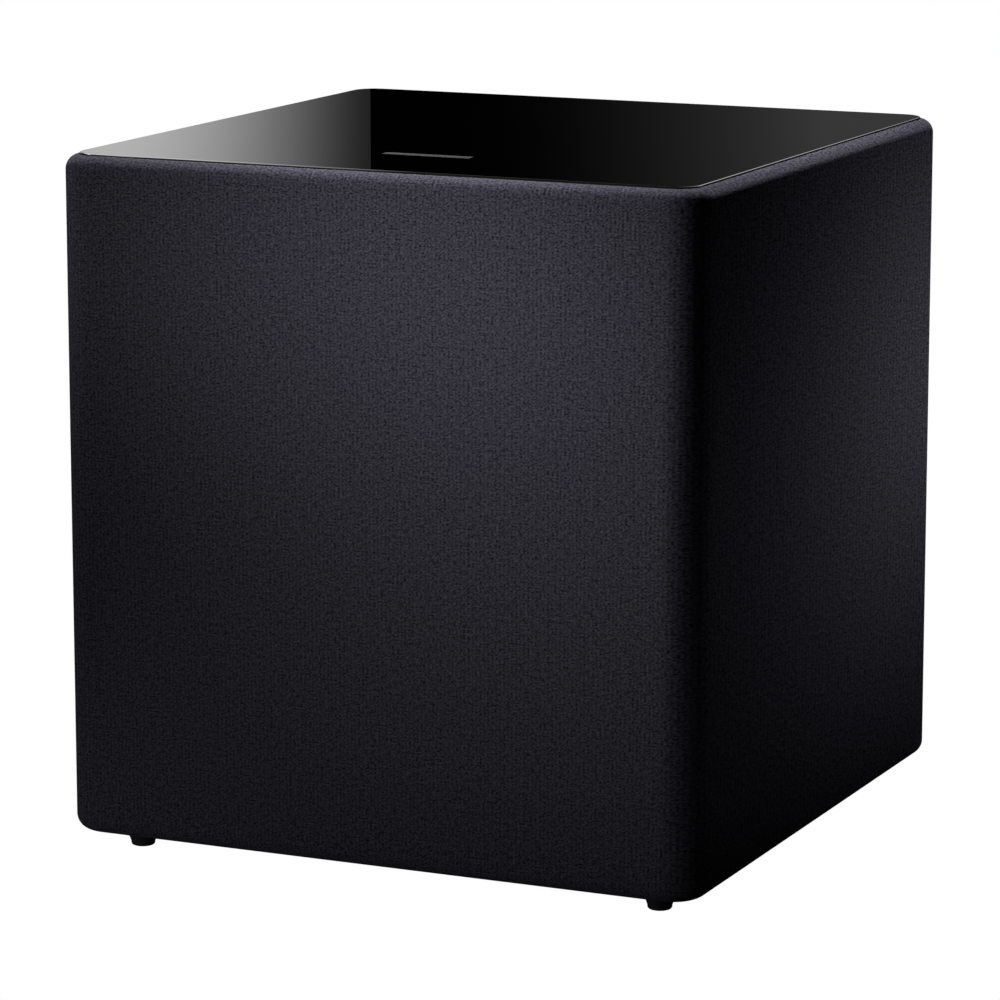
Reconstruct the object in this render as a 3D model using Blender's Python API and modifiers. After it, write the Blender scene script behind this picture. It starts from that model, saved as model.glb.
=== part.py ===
"""A powered subwoofer: a cloth-wrapped cube with a gloss top, a 12-inch driver behind the cloth and an
amplifier plate at the rear. Metres, +Z up, front towards -Y, origin on the floor under the middle."""

import math

import bmesh
import bpy
from mathutils import Vector

# Driving dimensions of the body
WIDTH = 0.393
DEPTH = 0.393
FOOT_HEIGHT = 0.012
CLOTH_TOP = FOOT_HEIGHT + 0.3932
CORNER_RADIUS = 0.0215
TOP_ROLL = 0.0085
BOTTOM_ROLL = 0.009
REAR_PROJECTION = 0.017

# Clearances and sheet thicknesses
GAP = 0.0003
CLOTH = 0.001
SKIN = CLOTH + GAP
OVER = 0.005

# Cabinet boards
BOARD = 0.018
REAR_BOARD = 0.022
FRONT_FRAME = 0.036

# Brace behind the driver: half width of its cross, and how far its windows reach
BRACE_Y = -0.036
BRACE_BAR = 0.022
BRACE_WINDOW = (0.15, 0.145)

# Top panel
PANEL_THICKNESS = 0.004
PANEL_INSET = 0.0077
PANEL_RADIUS = 0.0145
PANEL_TOP = CLOTH_TOP + 0.001

# Feet
FOOT_X = 0.1627
FOOT_Y = 0.163
FOOT_TOP_RADIUS = 0.0088
FOOT_BOTTOM_RADIUS = 0.0068

# Driver: radii from its axis, depths behind the front of its flange
FLANGE_RADIUS = 0.154
FLANGE = 0.006
FLANGE_BORE = 0.1365
SEAT_THICKNESS = 0.001
BOLT_CIRCLE = 0.147
BAFFLE_HOLE = 0.141
FRAME_HOLE = 0.158
COIL_INNER = 0.025
COIL_OUTER = 0.0262
CONE_RIM = 0.117
CONE_LIP = 0.111
CONE_LIP_DEPTH = 0.0013
CONE_NECK_DEPTH = 0.05
CONE_WALL = 0.0015
COIL_END = 0.1
DUST_CAP_RADIUS = 0.042
DUST_CAP_RISE = 0.014
SURROUND_THICKNESS = 0.0009
SPIDER_DEPTH = 0.0575
SPIDER_RADIUS = 0.092
BASKET_FLOOR = 0.076
PLATE = 0.008
MAGNET = 0.036
YOKE = 0.01
POLE_RADIUS = 0.024
SCREWS = 8
DRIVER_SCREW = 0.0021
DRIVER_PILOT_DEPTH = 0.0145
FLANGE_HOLE = 0.0026
BASKET_RIM = 0.1395
BASKET_WALL = 0.003
BASKET_LEDGE = 0.06
MAGNET_RADIUS = 0.078
MAGNET_BORE = 0.032
PLATE_RADIUS = 0.075
PLATE_BORE = 0.0275
VENT_RADIUS = 0.008

# Grille that keeps the cloth flat in front of the driver
GUARD = 0.0035
GUARD_RADIUS = 0.1655
GUARD_EDGE = 0.1525
GUARD_HUB = 0.016
GUARD_RIB = 0.005
GUARD_RINGS = (0.0485, 0.083, 0.118)

# Amplifier plate, its openings and its controls, as half sizes and places from the plate's centre
AMP_HALF = (0.122, 0.142)
AMP_PLATE = 0.003
AMP_CUTOUT = (0.1, 0.12)
CLOTH_CUTOUT = (0.114, 0.134)
SEAL = 0.001
AMP_SCREW = (0.107, 0.127)
AMP_SCREW_RADIUS = 0.0017
VOLUME_AT = (0.045, 0.075)
CROSSOVER_AT = (-0.045, 0.075)
EQ_AT = (0.045, 0.03)
PHASE_AT = (-0.045, 0.03)
JACK_LEFT_AT = (0.06, -0.015)
JACK_RIGHT_AT = (0.036, -0.015)
EXPANSION_AT = (0.0, -0.015)
SPEAKER_AT = (-0.05, -0.015)
INLET_AT = (-0.048, -0.088)
KNOB_RADIUS = 0.011
EQ_TRAVEL = 0.004
PHASE_TRAVEL = 0.005
ROCKER_TILT = math.radians(9)

# Planes worked out from the dimensions above
BODY_Y = -REAR_PROJECTION / 2
BODY_Z = (FOOT_HEIGHT + CLOTH_TOP) / 2
CABINET_X = WIDTH / 2 - SKIN
FRONT_Y = BODY_Y - DEPTH / 2 + SKIN
REAR_Y = BODY_Y + DEPTH / 2 - SKIN
CABINET_LOW = FOOT_HEIGHT + SKIN
CABINET_HIGH = CLOTH_TOP - SKIN
SEAT_Z = PANEL_TOP - PANEL_THICKNESS - GAP
FRAME_BACK_Y = FRONT_Y + FRONT_FRAME
BAFFLE_Y = FRAME_BACK_Y + GAP
REAR_INSIDE_Y = REAR_Y - REAR_BOARD
SIDE_INSIDE_X = CABINET_X - BOARD
FLOOR_Z = CABINET_LOW + BOARD
CEILING_Z = SEAT_Z - BOARD
FLANGE_Y = BAFFLE_Y - FLANGE - SEAT_THICKNESS - 2 * GAP
PLATE_INSIDE_Y = BODY_Y + DEPTH / 2 + GAP
PLATE_OUTSIDE_Y = PLATE_INSIDE_Y + AMP_PLATE
OUTSIDE_Y = PLATE_OUTSIDE_Y + GAP
REAR_END_Y = BODY_Y + DEPTH / 2 + REAR_PROJECTION
SOCKET_BACK_Y = PLATE_INSIDE_Y - 0.012
CONTROL_BOARD_Y = PLATE_INSIDE_Y - 0.0233
AMP_BOARD_Y = PLATE_INSIDE_Y - 0.0603


# ---------------------------------------------------------------- scene and materials

for old in list(bpy.data.objects):
    bpy.data.objects.remove(old, do_unlink=True)

PARTS = bpy.data.collections.new("Subwoofer")
TOOLS = bpy.data.collections.new("Subwoofer_cutters")
TOOLS.hide_render = True
bpy.context.scene.collection.children.link(PARTS)
bpy.context.scene.collection.children.link(TOOLS)


def material(name, colour, roughness, metallic=0.0):
    """One Principled material."""
    made = bpy.data.materials.new(name)
    made.use_nodes = True
    shader = made.node_tree.nodes["Principled BSDF"]
    shader.inputs["Base Color"].default_value = (*colour, 1)
    shader.inputs["Roughness"].default_value = roughness
    shader.inputs["Metallic"].default_value = metallic
    made.diffuse_color = (*colour, 1)
    return made


BLACK_CLOTH = material("black_cloth", (0.012, 0.012, 0.016), 0.95)
GLOSS_BLACK = material("gloss_black_panel", (0.004, 0.004, 0.005), 0.05)
BLACK_RUBBER = material("black_rubber", (0.015, 0.015, 0.015), 0.8)
PAINTED_BOARD = material("painted_board", (0.02, 0.02, 0.02), 0.7)
BLACK_PLASTIC = material("black_plastic", (0.018, 0.018, 0.019), 0.5)
CAST_FRAME = material("painted_cast_frame", (0.03, 0.03, 0.032), 0.45)
PLATED_STEEL = material("plated_steel", (0.55, 0.55, 0.56), 0.35, 1.0)
BLACK_STEEL = material("black_steel", (0.03, 0.03, 0.03), 0.4, 0.8)
FERRITE = material("ferrite", (0.06, 0.06, 0.065), 0.6)
PAPER_CONE = material("coated_paper", (0.02, 0.02, 0.021), 0.75)
SPIDER_CLOTH = material("spider_cloth", (0.55, 0.35, 0.12), 0.9)
COPPER = material("copper", (0.7, 0.32, 0.18), 0.35, 1.0)
PLATE_PAINT = material("amp_plate_paint", (0.022, 0.022, 0.024), 0.5)
FOAM = material("foam_seal", (0.03, 0.03, 0.03), 0.95)
CIRCUIT = material("circuit_board", (0.01, 0.12, 0.05), 0.5)
HEAT_SINK = material("black_aluminium", (0.05, 0.05, 0.055), 0.4, 0.9)
TAPE = material("transformer_tape", (0.75, 0.62, 0.1), 0.5)


# ---------------------------------------------------------------- modelling helpers


def place(name, shape, look=None, at=(0, 0, 0), turn=(0, 0, 0), parent=None):
    """An object from a bmesh: a part when it has a material, else a hidden cutter."""
    mesh = bpy.data.meshes.new(name)
    shape.to_mesh(mesh)
    shape.free()
    made = bpy.data.objects.new(name, mesh)
    made.location = at
    made.rotation_euler = turn
    made.parent = parent
    if look is None:
        TOOLS.objects.link(made)
        made.hide_render = True
        made.display_type = "WIRE"
    else:
        PARTS.objects.link(made)
        mesh.materials.append(look)
    return made


def smooth(made, angle=35):
    """Shades a round piece smooth and keeps its edges sharp."""
    made.data.shade_smooth()
    made.data.set_sharp_from_angle(angle=math.radians(angle))
    return made


def pivot(name, at, turn=(0, 0, 0)):
    """An empty on an axis, for the pieces that share it."""
    made = bpy.data.objects.new(name, None)
    made.location = at
    made.rotation_euler = turn
    made.empty_display_size = 0.02
    PARTS.objects.link(made)
    return made


def combine(made, operation, tools):
    """A Boolean of a part with one or more hidden shapes."""
    modifier = made.modifiers.new(operation.title(), "BOOLEAN")
    modifier.operation = operation
    modifier.solver = "EXACT"
    if len(tools) == 1:
        modifier.object = tools[0]
        return made
    group = bpy.data.collections.new(f"{made.name}_{operation.lower()}")
    TOOLS.children.link(group)
    for tool in tools:
        group.objects.link(tool)
    modifier.operand_type = "COLLECTION"
    modifier.collection = group
    return made


def cut(made, *tools):
    return combine(made, "DIFFERENCE", tools)


def join(made, *tools):
    return combine(made, "UNION", tools)


def along(edge, axis):
    """Whether an edge of a box runs along this axis."""
    run = edge.verts[1].co - edge.verts[0].co
    return abs(run[axis]) > 0.999 * run.length


def round_edges(shape, edges, radius, segments):
    bmesh.ops.bevel(
        shape, geom=edges, offset=radius, segments=segments, profile=0.5, affect="EDGES", clamp_overlap=False
    )


def cuboid(size):
    """A box round the origin, as a bmesh."""
    shape = bmesh.new()
    bmesh.ops.create_cube(shape, size=1)
    bmesh.ops.scale(shape, vec=size, verts=shape.verts)
    return shape


def block(name, low, high, look=None, radius=0.0, axis=2, segments=5, turn=(0, 0, 0), parent=None):
    """A box between two corners, with the four edges along one axis rounded."""
    shape = cuboid(Vector(high) - Vector(low))
    if radius:
        round_edges(shape, [edge for edge in shape.edges if along(edge, axis)], radius, segments)
    return place(name, shape, look, (Vector(low) + Vector(high)) / 2, turn, parent)


def cylinder(name, radius, start, end, look=None, sides=24, end_radius=None, parent=None):
    """A cylinder or a taper between two points on an axis."""
    run = Vector(end) - Vector(start)
    shape = bmesh.new()
    bmesh.ops.create_cone(
        shape,
        cap_ends=True,
        segments=sides,
        radius1=radius,
        radius2=radius if end_radius is None else end_radius,
        depth=run.length,
    )
    turn = Vector((0, 0, 1)).rotation_difference(run).to_euler()
    made = place(name, shape, look, (Vector(start) + Vector(end)) / 2, turn, parent)
    return smooth(made)


def turned(name, profile, look=None, steps=32, at=(0, 0, 0), turn=(0, 0, 0), parent=None, closed=True):
    """A profile of (radius, height) points turned round the local Z axis."""
    area = sum(a[0] * b[1] - b[0] * a[1] for a, b in zip(profile, profile[1:] + profile[:1]))
    points = profile if area < 0 else profile[::-1]
    shape = bmesh.new()
    corners = [shape.verts.new((radius, 0, height)) for radius, height in points]
    for first, second in zip(corners, corners[1:] + corners[:1]):
        if closed or second is not corners[0]:
            shape.edges.new((first, second))
    made = place(name, shape, look, at, turn, parent)
    screw = made.modifiers.new("Turn", "SCREW")
    screw.steps = steps
    screw.render_steps = steps
    screw.use_merge_vertices = True
    screw.merge_threshold = 0.00001
    screw.use_smooth_shade = False
    return made


def arc(centre, radius, start, end, steps):
    """Points round part of a circle, angles in degrees."""
    angles = [math.radians(start + (end - start) * i / steps) for i in range(steps + 1)]
    return [(centre[0] + radius * math.cos(a), centre[1] + radius * math.sin(a)) for a in angles]


def wire(name, points, radius, look, turn=(0, 0, 0), at=(0, 0, 0), parent=None):
    """A round wire through a list of points, smoothed as a spline first."""
    data = bpy.data.curves.new(name, "CURVE")
    data.dimensions = "3D"
    data.bevel_depth = radius
    data.bevel_resolution = 2
    data.use_fill_caps = True
    spline = data.splines.new("POLY")
    route = smooth_route([Vector(point) for point in points])
    spline.points.add(len(route) - 1)
    for target, point in zip(spline.points, route):
        target.co = (*point, 1)
    made = bpy.data.objects.new(name, data)
    made.location = at
    made.rotation_euler = turn
    made.parent = parent
    data.materials.append(look)
    PARTS.objects.link(made)
    return made


def smooth_route(points, parts=4):
    """A Catmull-Rom curve through the points."""
    padded = [2 * points[0] - points[1], *points, 2 * points[-1] - points[-2]]
    route = []
    for a, b, c, d in zip(padded, padded[1:], padded[2:], padded[3:]):
        for step in range(parts):
            t = step / parts
            bend = (2 * a - 5 * b + 4 * c - d) * t**2 + (3 * b - a - 3 * c + d) * t**3
            route.append((2 * b + (c - a) * t + bend) / 2)
    return [*route, points[-1]]


def around(count, radius, offset=0.0):
    """Places evenly round an axis, as (angle, x, y)."""
    for index in range(count):
        angle = offset + 2 * math.pi * index / count
        yield angle, radius * math.cos(angle), radius * math.sin(angle)


# ---------------------------------------------------------------- cabinet


def cabinet_form(name):
    """The outside of the bare cabinet, with its rounded corners and rolled edges, as a shape to intersect."""
    height = CABINET_HIGH - CABINET_LOW
    shape = cuboid((2 * CABINET_X, REAR_Y - FRONT_Y, height))
    round_edges(shape, [edge for edge in shape.edges if along(edge, 2)], CORNER_RADIUS - SKIN, 5)
    for side, roll in ((1, TOP_ROLL - SKIN), (-1, BOTTOM_ROLL - SKIN)):
        rim = [edge for edge in shape.edges if all(side * vert.co.z > 0.499 * height for vert in edge.verts)]
        round_edges(shape, rim, roll, 3)
    return place(name, shape, at=(0, BODY_Y, (CABINET_LOW + CABINET_HIGH) / 2))


def panel_rebate(name):
    """The shallow seat that the top panel and the tucked cloth lie in."""
    reach = WIDTH / 2 - PANEL_INSET + SKIN + GAP
    low = (-reach, BODY_Y - reach, SEAT_Z)
    high = (reach, BODY_Y + reach, CLOTH_TOP + 0.01)
    return block(name, low, high, radius=CORNER_RADIUS - (WIDTH / 2 - reach))


def driver_hole(name, radius, start, end, sides=48):
    return cylinder(name, radius, (0, start, BODY_Z), (0, end, BODY_Z), sides=sides)


def board(name, low, high, rebated=True):
    """A cabinet board, trimmed to the cabinet's outside."""
    made = block(name, low, high, PAINTED_BOARD)
    combine(made, "INTERSECT", [cabinet_form(f"{name}_form")])
    if rebated:
        cut(made, panel_rebate(f"{name}_rebate"))
    return made


def cabinet():
    frame = board("front_frame", (-CABINET_X, FRONT_Y, CABINET_LOW), (CABINET_X, FRAME_BACK_Y, CABINET_HIGH))
    cut(frame, driver_hole("front_frame_hole", FRAME_HOLE, FRONT_Y - OVER, FRAME_BACK_Y + OVER))
    seat_end = FRONT_Y + GUARD + GAP
    cut(frame, driver_hole("front_frame_guard_seat", GUARD_RADIUS + 2 * GAP, FRONT_Y - OVER, seat_end))

    rear = board("rear_board", (-CABINET_X, REAR_INSIDE_Y, CABINET_LOW), (CABINET_X, REAR_Y, CABINET_HIGH))
    cut(rear, plate_opening("rear_board_opening", AMP_CUTOUT, REAR_INSIDE_Y - OVER, REAR_Y + OVER))
    for index, (x, z) in enumerate(amp_screw_places(), 1):
        start = (x, REAR_Y - 0.0175, z)
        end = (x, REAR_Y + OVER, z)
        cut(rear, cylinder(f"rear_board_pilot_{index}", AMP_SCREW_RADIUS + 0.0004, start, end, sides=8))

    inside_low = FRAME_BACK_Y + GAP
    inside_high = REAR_INSIDE_Y - GAP
    for name, side in (("left_board", -1), ("right_board", 1)):
        xs = sorted((side * CABINET_X, side * SIDE_INSIDE_X))
        board(name, (xs[0], inside_low, CABINET_LOW), (xs[1], inside_high, CABINET_HIGH))
    reach = SIDE_INSIDE_X - GAP
    block("top_board", (-reach, inside_low, CEILING_Z), (reach, inside_high, SEAT_Z), PAINTED_BOARD)
    block("bottom_board", (-reach, inside_low, CABINET_LOW), (reach, inside_high, FLOOR_Z), PAINTED_BOARD)


def front_baffle():
    """The inner board that the driver is screwed to."""
    reach = SIDE_INSIDE_X - GAP
    low = (-reach, BAFFLE_Y, FLOOR_Z + GAP)
    high = (reach, BAFFLE_Y + BOARD, CEILING_Z - GAP)
    made = block("front_baffle", low, high, PAINTED_BOARD)
    cut(made, driver_hole("front_baffle_hole", BAFFLE_HOLE, BAFFLE_Y - OVER, BAFFLE_Y + BOARD + OVER, 32))
    pilots = []
    for index, (_, x, z) in enumerate(around(SCREWS, BOLT_CIRCLE, math.pi / SCREWS), 1):
        start = (x, BAFFLE_Y - OVER, BODY_Z + z)
        end = (x, BAFFLE_Y + DRIVER_PILOT_DEPTH, BODY_Z + z)
        pilots.append(cylinder(f"front_baffle_pilot_{index}", DRIVER_SCREW + GAP, start, end, sides=8))
    cut(made, *pilots)


def window_brace():
    """A board with four windows that ties the cabinet's walls together behind the driver."""
    reach = SIDE_INSIDE_X - GAP
    low = (-reach, BRACE_Y, FLOOR_Z + GAP)
    high = (reach, BRACE_Y + BOARD, CEILING_Z - GAP)
    made = block("window_brace", low, high, PAINTED_BOARD)
    middle = Vector((BRACE_BAR + BRACE_WINDOW[0], 0, BRACE_BAR + BRACE_WINDOW[1])) / 2
    half = Vector((BRACE_WINDOW[0] - BRACE_BAR, BOARD + 2 * OVER, BRACE_WINDOW[1] - BRACE_BAR)) / 2
    windows = []
    for x in (-1, 1):
        for z in (-1, 1):
            centre = Vector((x * middle.x, BRACE_Y + BOARD / 2, BODY_Z + z * middle.z))
            name = f"window_brace_{x}_{z}"
            windows.append(block(name, centre - half, centre + half, radius=0.02, axis=1, segments=3))
    cut(made, *windows)


# ---------------------------------------------------------------- cloth, panel and feet


def outline(half_x, half_y, radius, steps):
    """Points round a rounded rectangle, each with its outward direction."""
    for corner, (x, y) in enumerate(((1, 1), (-1, 1), (-1, -1), (1, -1))):
        for step in range(steps + 1):
            angle = (corner + step / steps) * math.pi / 2
            out = Vector((math.cos(angle), math.sin(angle), 0))
            yield Vector((x * (half_x - radius), y * (half_y - radius), 0)) + radius * out, out


def cloth_sleeve():
    """Cloth round all four sides, rolled over the top edge into the groove and hemmed under the bottom."""
    top = (TOP_ROLL, CLOTH_TOP - TOP_ROLL)
    bottom = (BOTTOM_ROLL, FOOT_HEIGHT + BOTTOM_ROLL)
    hem = 0.018
    tuck = PANEL_INSET - GAP
    lean = math.degrees(math.asin((TOP_ROLL - tuck) / TOP_ROLL))
    inner_lean = math.degrees(math.asin((TOP_ROLL - tuck + CLOTH) / (TOP_ROLL - CLOTH)))
    tuck_end = SEAT_Z + 0.0005
    profile = [
        (hem, FOOT_HEIGHT),
        *arc(bottom, BOTTOM_ROLL, 270, 180, 4),
        *arc(top, TOP_ROLL, 180, 90 + lean, 4),
        (tuck, tuck_end),
        (tuck - CLOTH, tuck_end),
        *arc(top, TOP_ROLL - CLOTH, 90 + inner_lean, 180, 4),
        *arc(bottom, BOTTOM_ROLL - CLOTH, 180, 270, 4),
        (hem, FOOT_HEIGHT + CLOTH),
    ]
    shape = bmesh.new()
    rings = [
        [shape.verts.new(point - out * inset + Vector((0, 0, height))) for inset, height in profile]
        for point, out in outline(WIDTH / 2, DEPTH / 2, CORNER_RADIUS, 5)
    ]
    for ring, following in zip(rings, rings[1:] + rings[:1]):
        for index in range(len(profile)):
            after = (index + 1) % len(profile)
            shape.faces.new((ring[index], ring[after], following[after], following[index]))
    bmesh.ops.recalc_face_normals(shape, faces=shape.faces)
    made = smooth(place("cloth_sleeve", shape, BLACK_CLOTH, (0, BODY_Y, 0)))
    cut(made, plate_opening("cloth_opening", CLOTH_CUTOUT, REAR_Y - 0.003, REAR_Y + 0.01))


def top_panel():
    reach = WIDTH / 2 - PANEL_INSET
    low = (-reach, BODY_Y - reach, PANEL_TOP - PANEL_THICKNESS)
    made = block("top_panel", low, (reach, BODY_Y + reach, PANEL_TOP), GLOSS_BLACK, PANEL_RADIUS, segments=8)
    arris = made.modifiers.new("Arris", "BEVEL")
    arris.width = 0.0004
    arris.segments = 1
    arris.angle_limit = math.radians(60)


def feet():
    profile = [
        (0, CABINET_LOW - GAP),
        (FOOT_TOP_RADIUS, CABINET_LOW - GAP),
        (FOOT_BOTTOM_RADIUS, 0.001),
        (FOOT_BOTTOM_RADIUS - 0.001, 0),
        (0, 0),
    ]
    for row, y in (("front", -1), ("rear", 1)):
        for side, x in (("left", -1), ("right", 1)):
            at = (x * FOOT_X, BODY_Y + y * FOOT_Y, 0)
            turned(f"foot_{row}_{side}", profile, BLACK_RUBBER, 20, at, closed=False)


def guard_grille():
    """Flat ribs across the driver's opening, flush with the front of the cabinet under the cloth."""
    at = (0, FRONT_Y, BODY_Z)
    back = (-math.pi / 2, 0, 0)
    rim = [(GUARD_RADIUS, 0), (GUARD_RADIUS, GUARD), (GUARD_EDGE, GUARD), (GUARD_EDGE, 0)]
    made = turned("guard_grille", rim, BLACK_PLASTIC, 32, at, back)
    ribs = []
    for index, radius in enumerate(GUARD_RINGS, 1):
        inner = radius - GUARD_RIB / 2
        outer = radius + GUARD_RIB / 2
        profile = [(outer, 0), (outer, GUARD), (inner, GUARD), (inner, 0)]
        ribs.append(turned(f"guard_ring_{index}", profile, None, 20, at, back))
    ribs.append(cylinder("guard_hub", GUARD_HUB, at, (0, FRONT_Y + GUARD, BODY_Z), sides=16))
    spoke = (GUARD_EDGE - GUARD_HUB + GUARD_RIB, GUARD - 0.0008, GUARD_RIB)
    for index, (angle, x, z) in enumerate(around(8, (GUARD_EDGE + GUARD_HUB) / 2, math.pi / 8), 1):
        middle = (x, FRONT_Y + GUARD / 2, BODY_Z + z)
        ribs.append(place(f"guard_spoke_{index}", cuboid(spoke), None, middle, (0, -angle, 0)))
    join(made, *ribs)


# ---------------------------------------------------------------- driver


def cone_depth(radius):
    """Depth of the cone's front face at a radius, between its lip and its neck."""
    neck = COIL_OUTER + GAP
    share = (CONE_LIP - radius) / (CONE_LIP - neck)
    return CONE_LIP_DEPTH + share * (CONE_NECK_DEPTH - CONE_LIP_DEPTH)


def driver_basket(axis):
    """Cast frame: flange, six legs, spider ledge and the floor that the magnet hangs from."""
    profile = [
        (FLANGE_RADIUS, 0),
        (FLANGE_RADIUS, FLANGE),
        (BASKET_RIM, FLANGE),
        (BASKET_RIM, 0.012),
        (0.096, 0.062),
        (0.086, BASKET_FLOOR + BASKET_WALL),
        (0.029, BASKET_FLOOR + BASKET_WALL),
        (0.029, BASKET_FLOOR),
        (0.081, BASKET_FLOOR),
        (0.084, BASKET_LEDGE),
        (0.0925, BASKET_LEDGE),
        (FLANGE_BORE, 0.0105),
        (FLANGE_BORE, 0),
    ]
    made = turned("driver_basket", profile, CAST_FRAME, 32, parent=axis)
    for side, low, high in (("left", -0.11, -0.094), ("right", 0.094, 0.11)):
        join(made, block(f"basket_terminal_{side}", (low, -0.008, 0.046), (high, 0.008, 0.065), parent=axis))
    opening = (0.08, 0.084, 0.036)
    windows = []
    for index, (angle, x, y) in enumerate(around(6, 0.125, math.pi / 6), 1):
        at = (x, y, 0.036)
        windows.append(place(f"basket_window_{index}", cuboid(opening), None, at, (0, 0, angle), axis))
    cut(made, *windows)
    cut(made, *flange_holes("basket", -OVER, FLANGE + OVER, axis))


def flange_holes(name, start, end, axis):
    return [
        cylinder(f"{name}_hole_{index}", FLANGE_HOLE, (x, y, start), (x, y, end), sides=8, parent=axis)
        for index, (_, x, y) in enumerate(around(SCREWS, BOLT_CIRCLE, math.pi / SCREWS), 1)
    ]


def tube(name, outer, inner, start, end, look, parent):
    """A plain ring with square edges."""
    profile = [(outer, start), (outer, end), (inner, end), (inner, start)]
    return turned(name, profile, look, 32, parent=parent)


def driver_gasket(axis):
    start = FLANGE + GAP
    made = tube("driver_gasket", 0.153, 0.1425, start, start + SEAT_THICKNESS, FOAM, axis)
    cut(made, *flange_holes("gasket", 0, 0.02, axis))


def motor(axis):
    """Front plate, ring magnet, and the yoke with its pole and vent."""
    front = BASKET_FLOOR + BASKET_WALL + GAP
    plate_end = front + PLATE
    magnet_start = plate_end + GAP
    magnet_end = magnet_start + MAGNET
    yoke_start = magnet_end + GAP
    yoke_end = yoke_start + YOKE
    tube("front_plate", PLATE_RADIUS, PLATE_BORE, front, plate_end, BLACK_STEEL, axis)
    tube("magnet", MAGNET_RADIUS, MAGNET_BORE, magnet_start, magnet_end, FERRITE, axis)
    yoke = [
        (POLE_RADIUS, front),
        (POLE_RADIUS, yoke_start),
        (PLATE_RADIUS, yoke_start),
        (PLATE_RADIUS, yoke_end),
        (VENT_RADIUS, yoke_end),
        (VENT_RADIUS, front),
    ]
    turned("yoke", yoke, BLACK_STEEL, 32, parent=axis)


def moving_assembly(axis):
    """Cone, dust cap and voice coil, which travel together along the driver's axis."""
    neck = COIL_OUTER + GAP
    cone = [
        (CONE_RIM, CONE_LIP_DEPTH),
        (CONE_RIM, CONE_LIP_DEPTH + CONE_WALL),
        (CONE_LIP, CONE_LIP_DEPTH + CONE_WALL),
        (neck, CONE_NECK_DEPTH + CONE_WALL),
        (neck, CONE_NECK_DEPTH),
        (CONE_LIP, CONE_LIP_DEPTH),
    ]
    turned("cone", cone, PAPER_CONE, 32, parent=axis)
    rim = cone_depth(DUST_CAP_RADIUS) - 0.0006
    sphere = (DUST_CAP_RADIUS**2 + DUST_CAP_RISE**2) / (2 * DUST_CAP_RISE)
    spread = math.degrees(math.asin(DUST_CAP_RADIUS / sphere))
    centre = (0, rim + sphere - DUST_CAP_RISE)
    outside = arc(centre, sphere, 270, 270 + spread, 4)
    inside = arc(centre, sphere - 0.001, 270 + spread, 270, 4)
    cap = [(0, outside[0][1]), *outside[1:], *inside[:-1], (0, inside[-1][1])]
    turned("dust_cap", cap, PAPER_CONE, 24, parent=axis, closed=False)
    tube("voice_coil", COIL_OUTER, COIL_INNER, CONE_NECK_DEPTH, COIL_END, COPPER, axis)


def surround(axis):
    """Half-roll of rubber between the cone's rim and the flange."""
    crest = 0.01
    outer = 0.1415
    inner = 0.1125
    centre = ((CONE_RIM + FLANGE_BORE) / 2, -GAP - SURROUND_THICKNESS)
    front = arc(centre, crest, 0, -180, 6)
    back = arc(centre, crest - SURROUND_THICKNESS, -180, 0, 6)
    lip = CONE_LIP_DEPTH - GAP
    profile = [
        (outer, -GAP - SURROUND_THICKNESS),
        *front,
        (inner, lip - SURROUND_THICKNESS),
        (inner, lip),
        (CONE_RIM + 0.0007, lip),
        *back,
        (0.1362, -GAP),
        (outer, -GAP),
    ]
    turned("surround", profile, BLACK_RUBBER, 32, parent=axis)


def spider(axis):
    """Corrugated cloth disc that centres the voice coil."""
    thickness = 0.0008
    wave = 0.0014
    ridges = 8
    start = 0.03
    flat = 0.085
    step = (flat - start) / ridges
    ridge = [(start + step * i, SPIDER_DEPTH + (wave if i % 2 else -wave)) for i in range(ridges)]
    inner = COIL_OUTER + 3 * GAP
    seat = BASKET_LEDGE - GAP - thickness
    front = [(inner, SPIDER_DEPTH), *ridge, (flat, seat), (SPIDER_RADIUS, seat)]
    back = [(radius, depth + thickness) for radius, depth in reversed(front)]
    turned("spider", front + back, SPIDER_CLOTH, 20, parent=axis)


def tinsel_leads(axis):
    """Flexible leads from the cone to the terminals on the frame."""
    for name, side in (("tinsel_lead_left", -1), ("tinsel_lead_right", 1)):
        start = cone_depth(0.06) + 0.0035
        route = [
            (side * 0.06, 0, start),
            (side * 0.066, 0, start + 0.007),
            (side * 0.076, 0, start + 0.0135),
            (side * 0.086, 0, start + 0.0125),
            (side * 0.0932, 0, start + 0.0135),
        ]
        wire(name, route, 0.0009, COPPER, parent=axis)


def driver_screws(axis):
    head = 0.0025
    profile = [
        (0, -GAP - head),
        (0.0032, -GAP - head),
        (0.0045, -GAP - head * 0.5),
        (0.0045, -GAP),
        (DRIVER_SCREW, -GAP),
        (DRIVER_SCREW, 0.019),
        (0, 0.0205),
    ]
    for index, (_, x, y) in enumerate(around(SCREWS, BOLT_CIRCLE, math.pi / SCREWS), 1):
        turned(f"driver_screw_{index}", profile, BLACK_STEEL, 10, (x, y, 0), parent=axis, closed=False)


def driver():
    axis = pivot("driver_axis", (0, FLANGE_Y, BODY_Z), (-math.pi / 2, 0, 0))
    driver_basket(axis)
    driver_gasket(axis)
    motor(axis)
    moving_assembly(axis)
    surround(axis)
    spider(axis)
    tinsel_leads(axis)
    driver_screws(axis)


# ---------------------------------------------------------------- amplifier


def plate_opening(name, half, start, end, look=None):
    """A rounded rectangular block centred on the amplifier plate, to cut with unless it has a material."""
    low = (-half[0], start, BODY_Z - half[1])
    return block(name, low, (half[0], end, BODY_Z + half[1]), look, radius=0.006, axis=1, segments=3)


def amp_screw_places():
    x, z = AMP_SCREW
    around_plate = ((-x, -z), (0, -z), (x, -z), (x, 0), (x, z), (0, z), (-x, z), (-x, 0))
    return [(u, BODY_Z + v) for u, v in around_plate]


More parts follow.
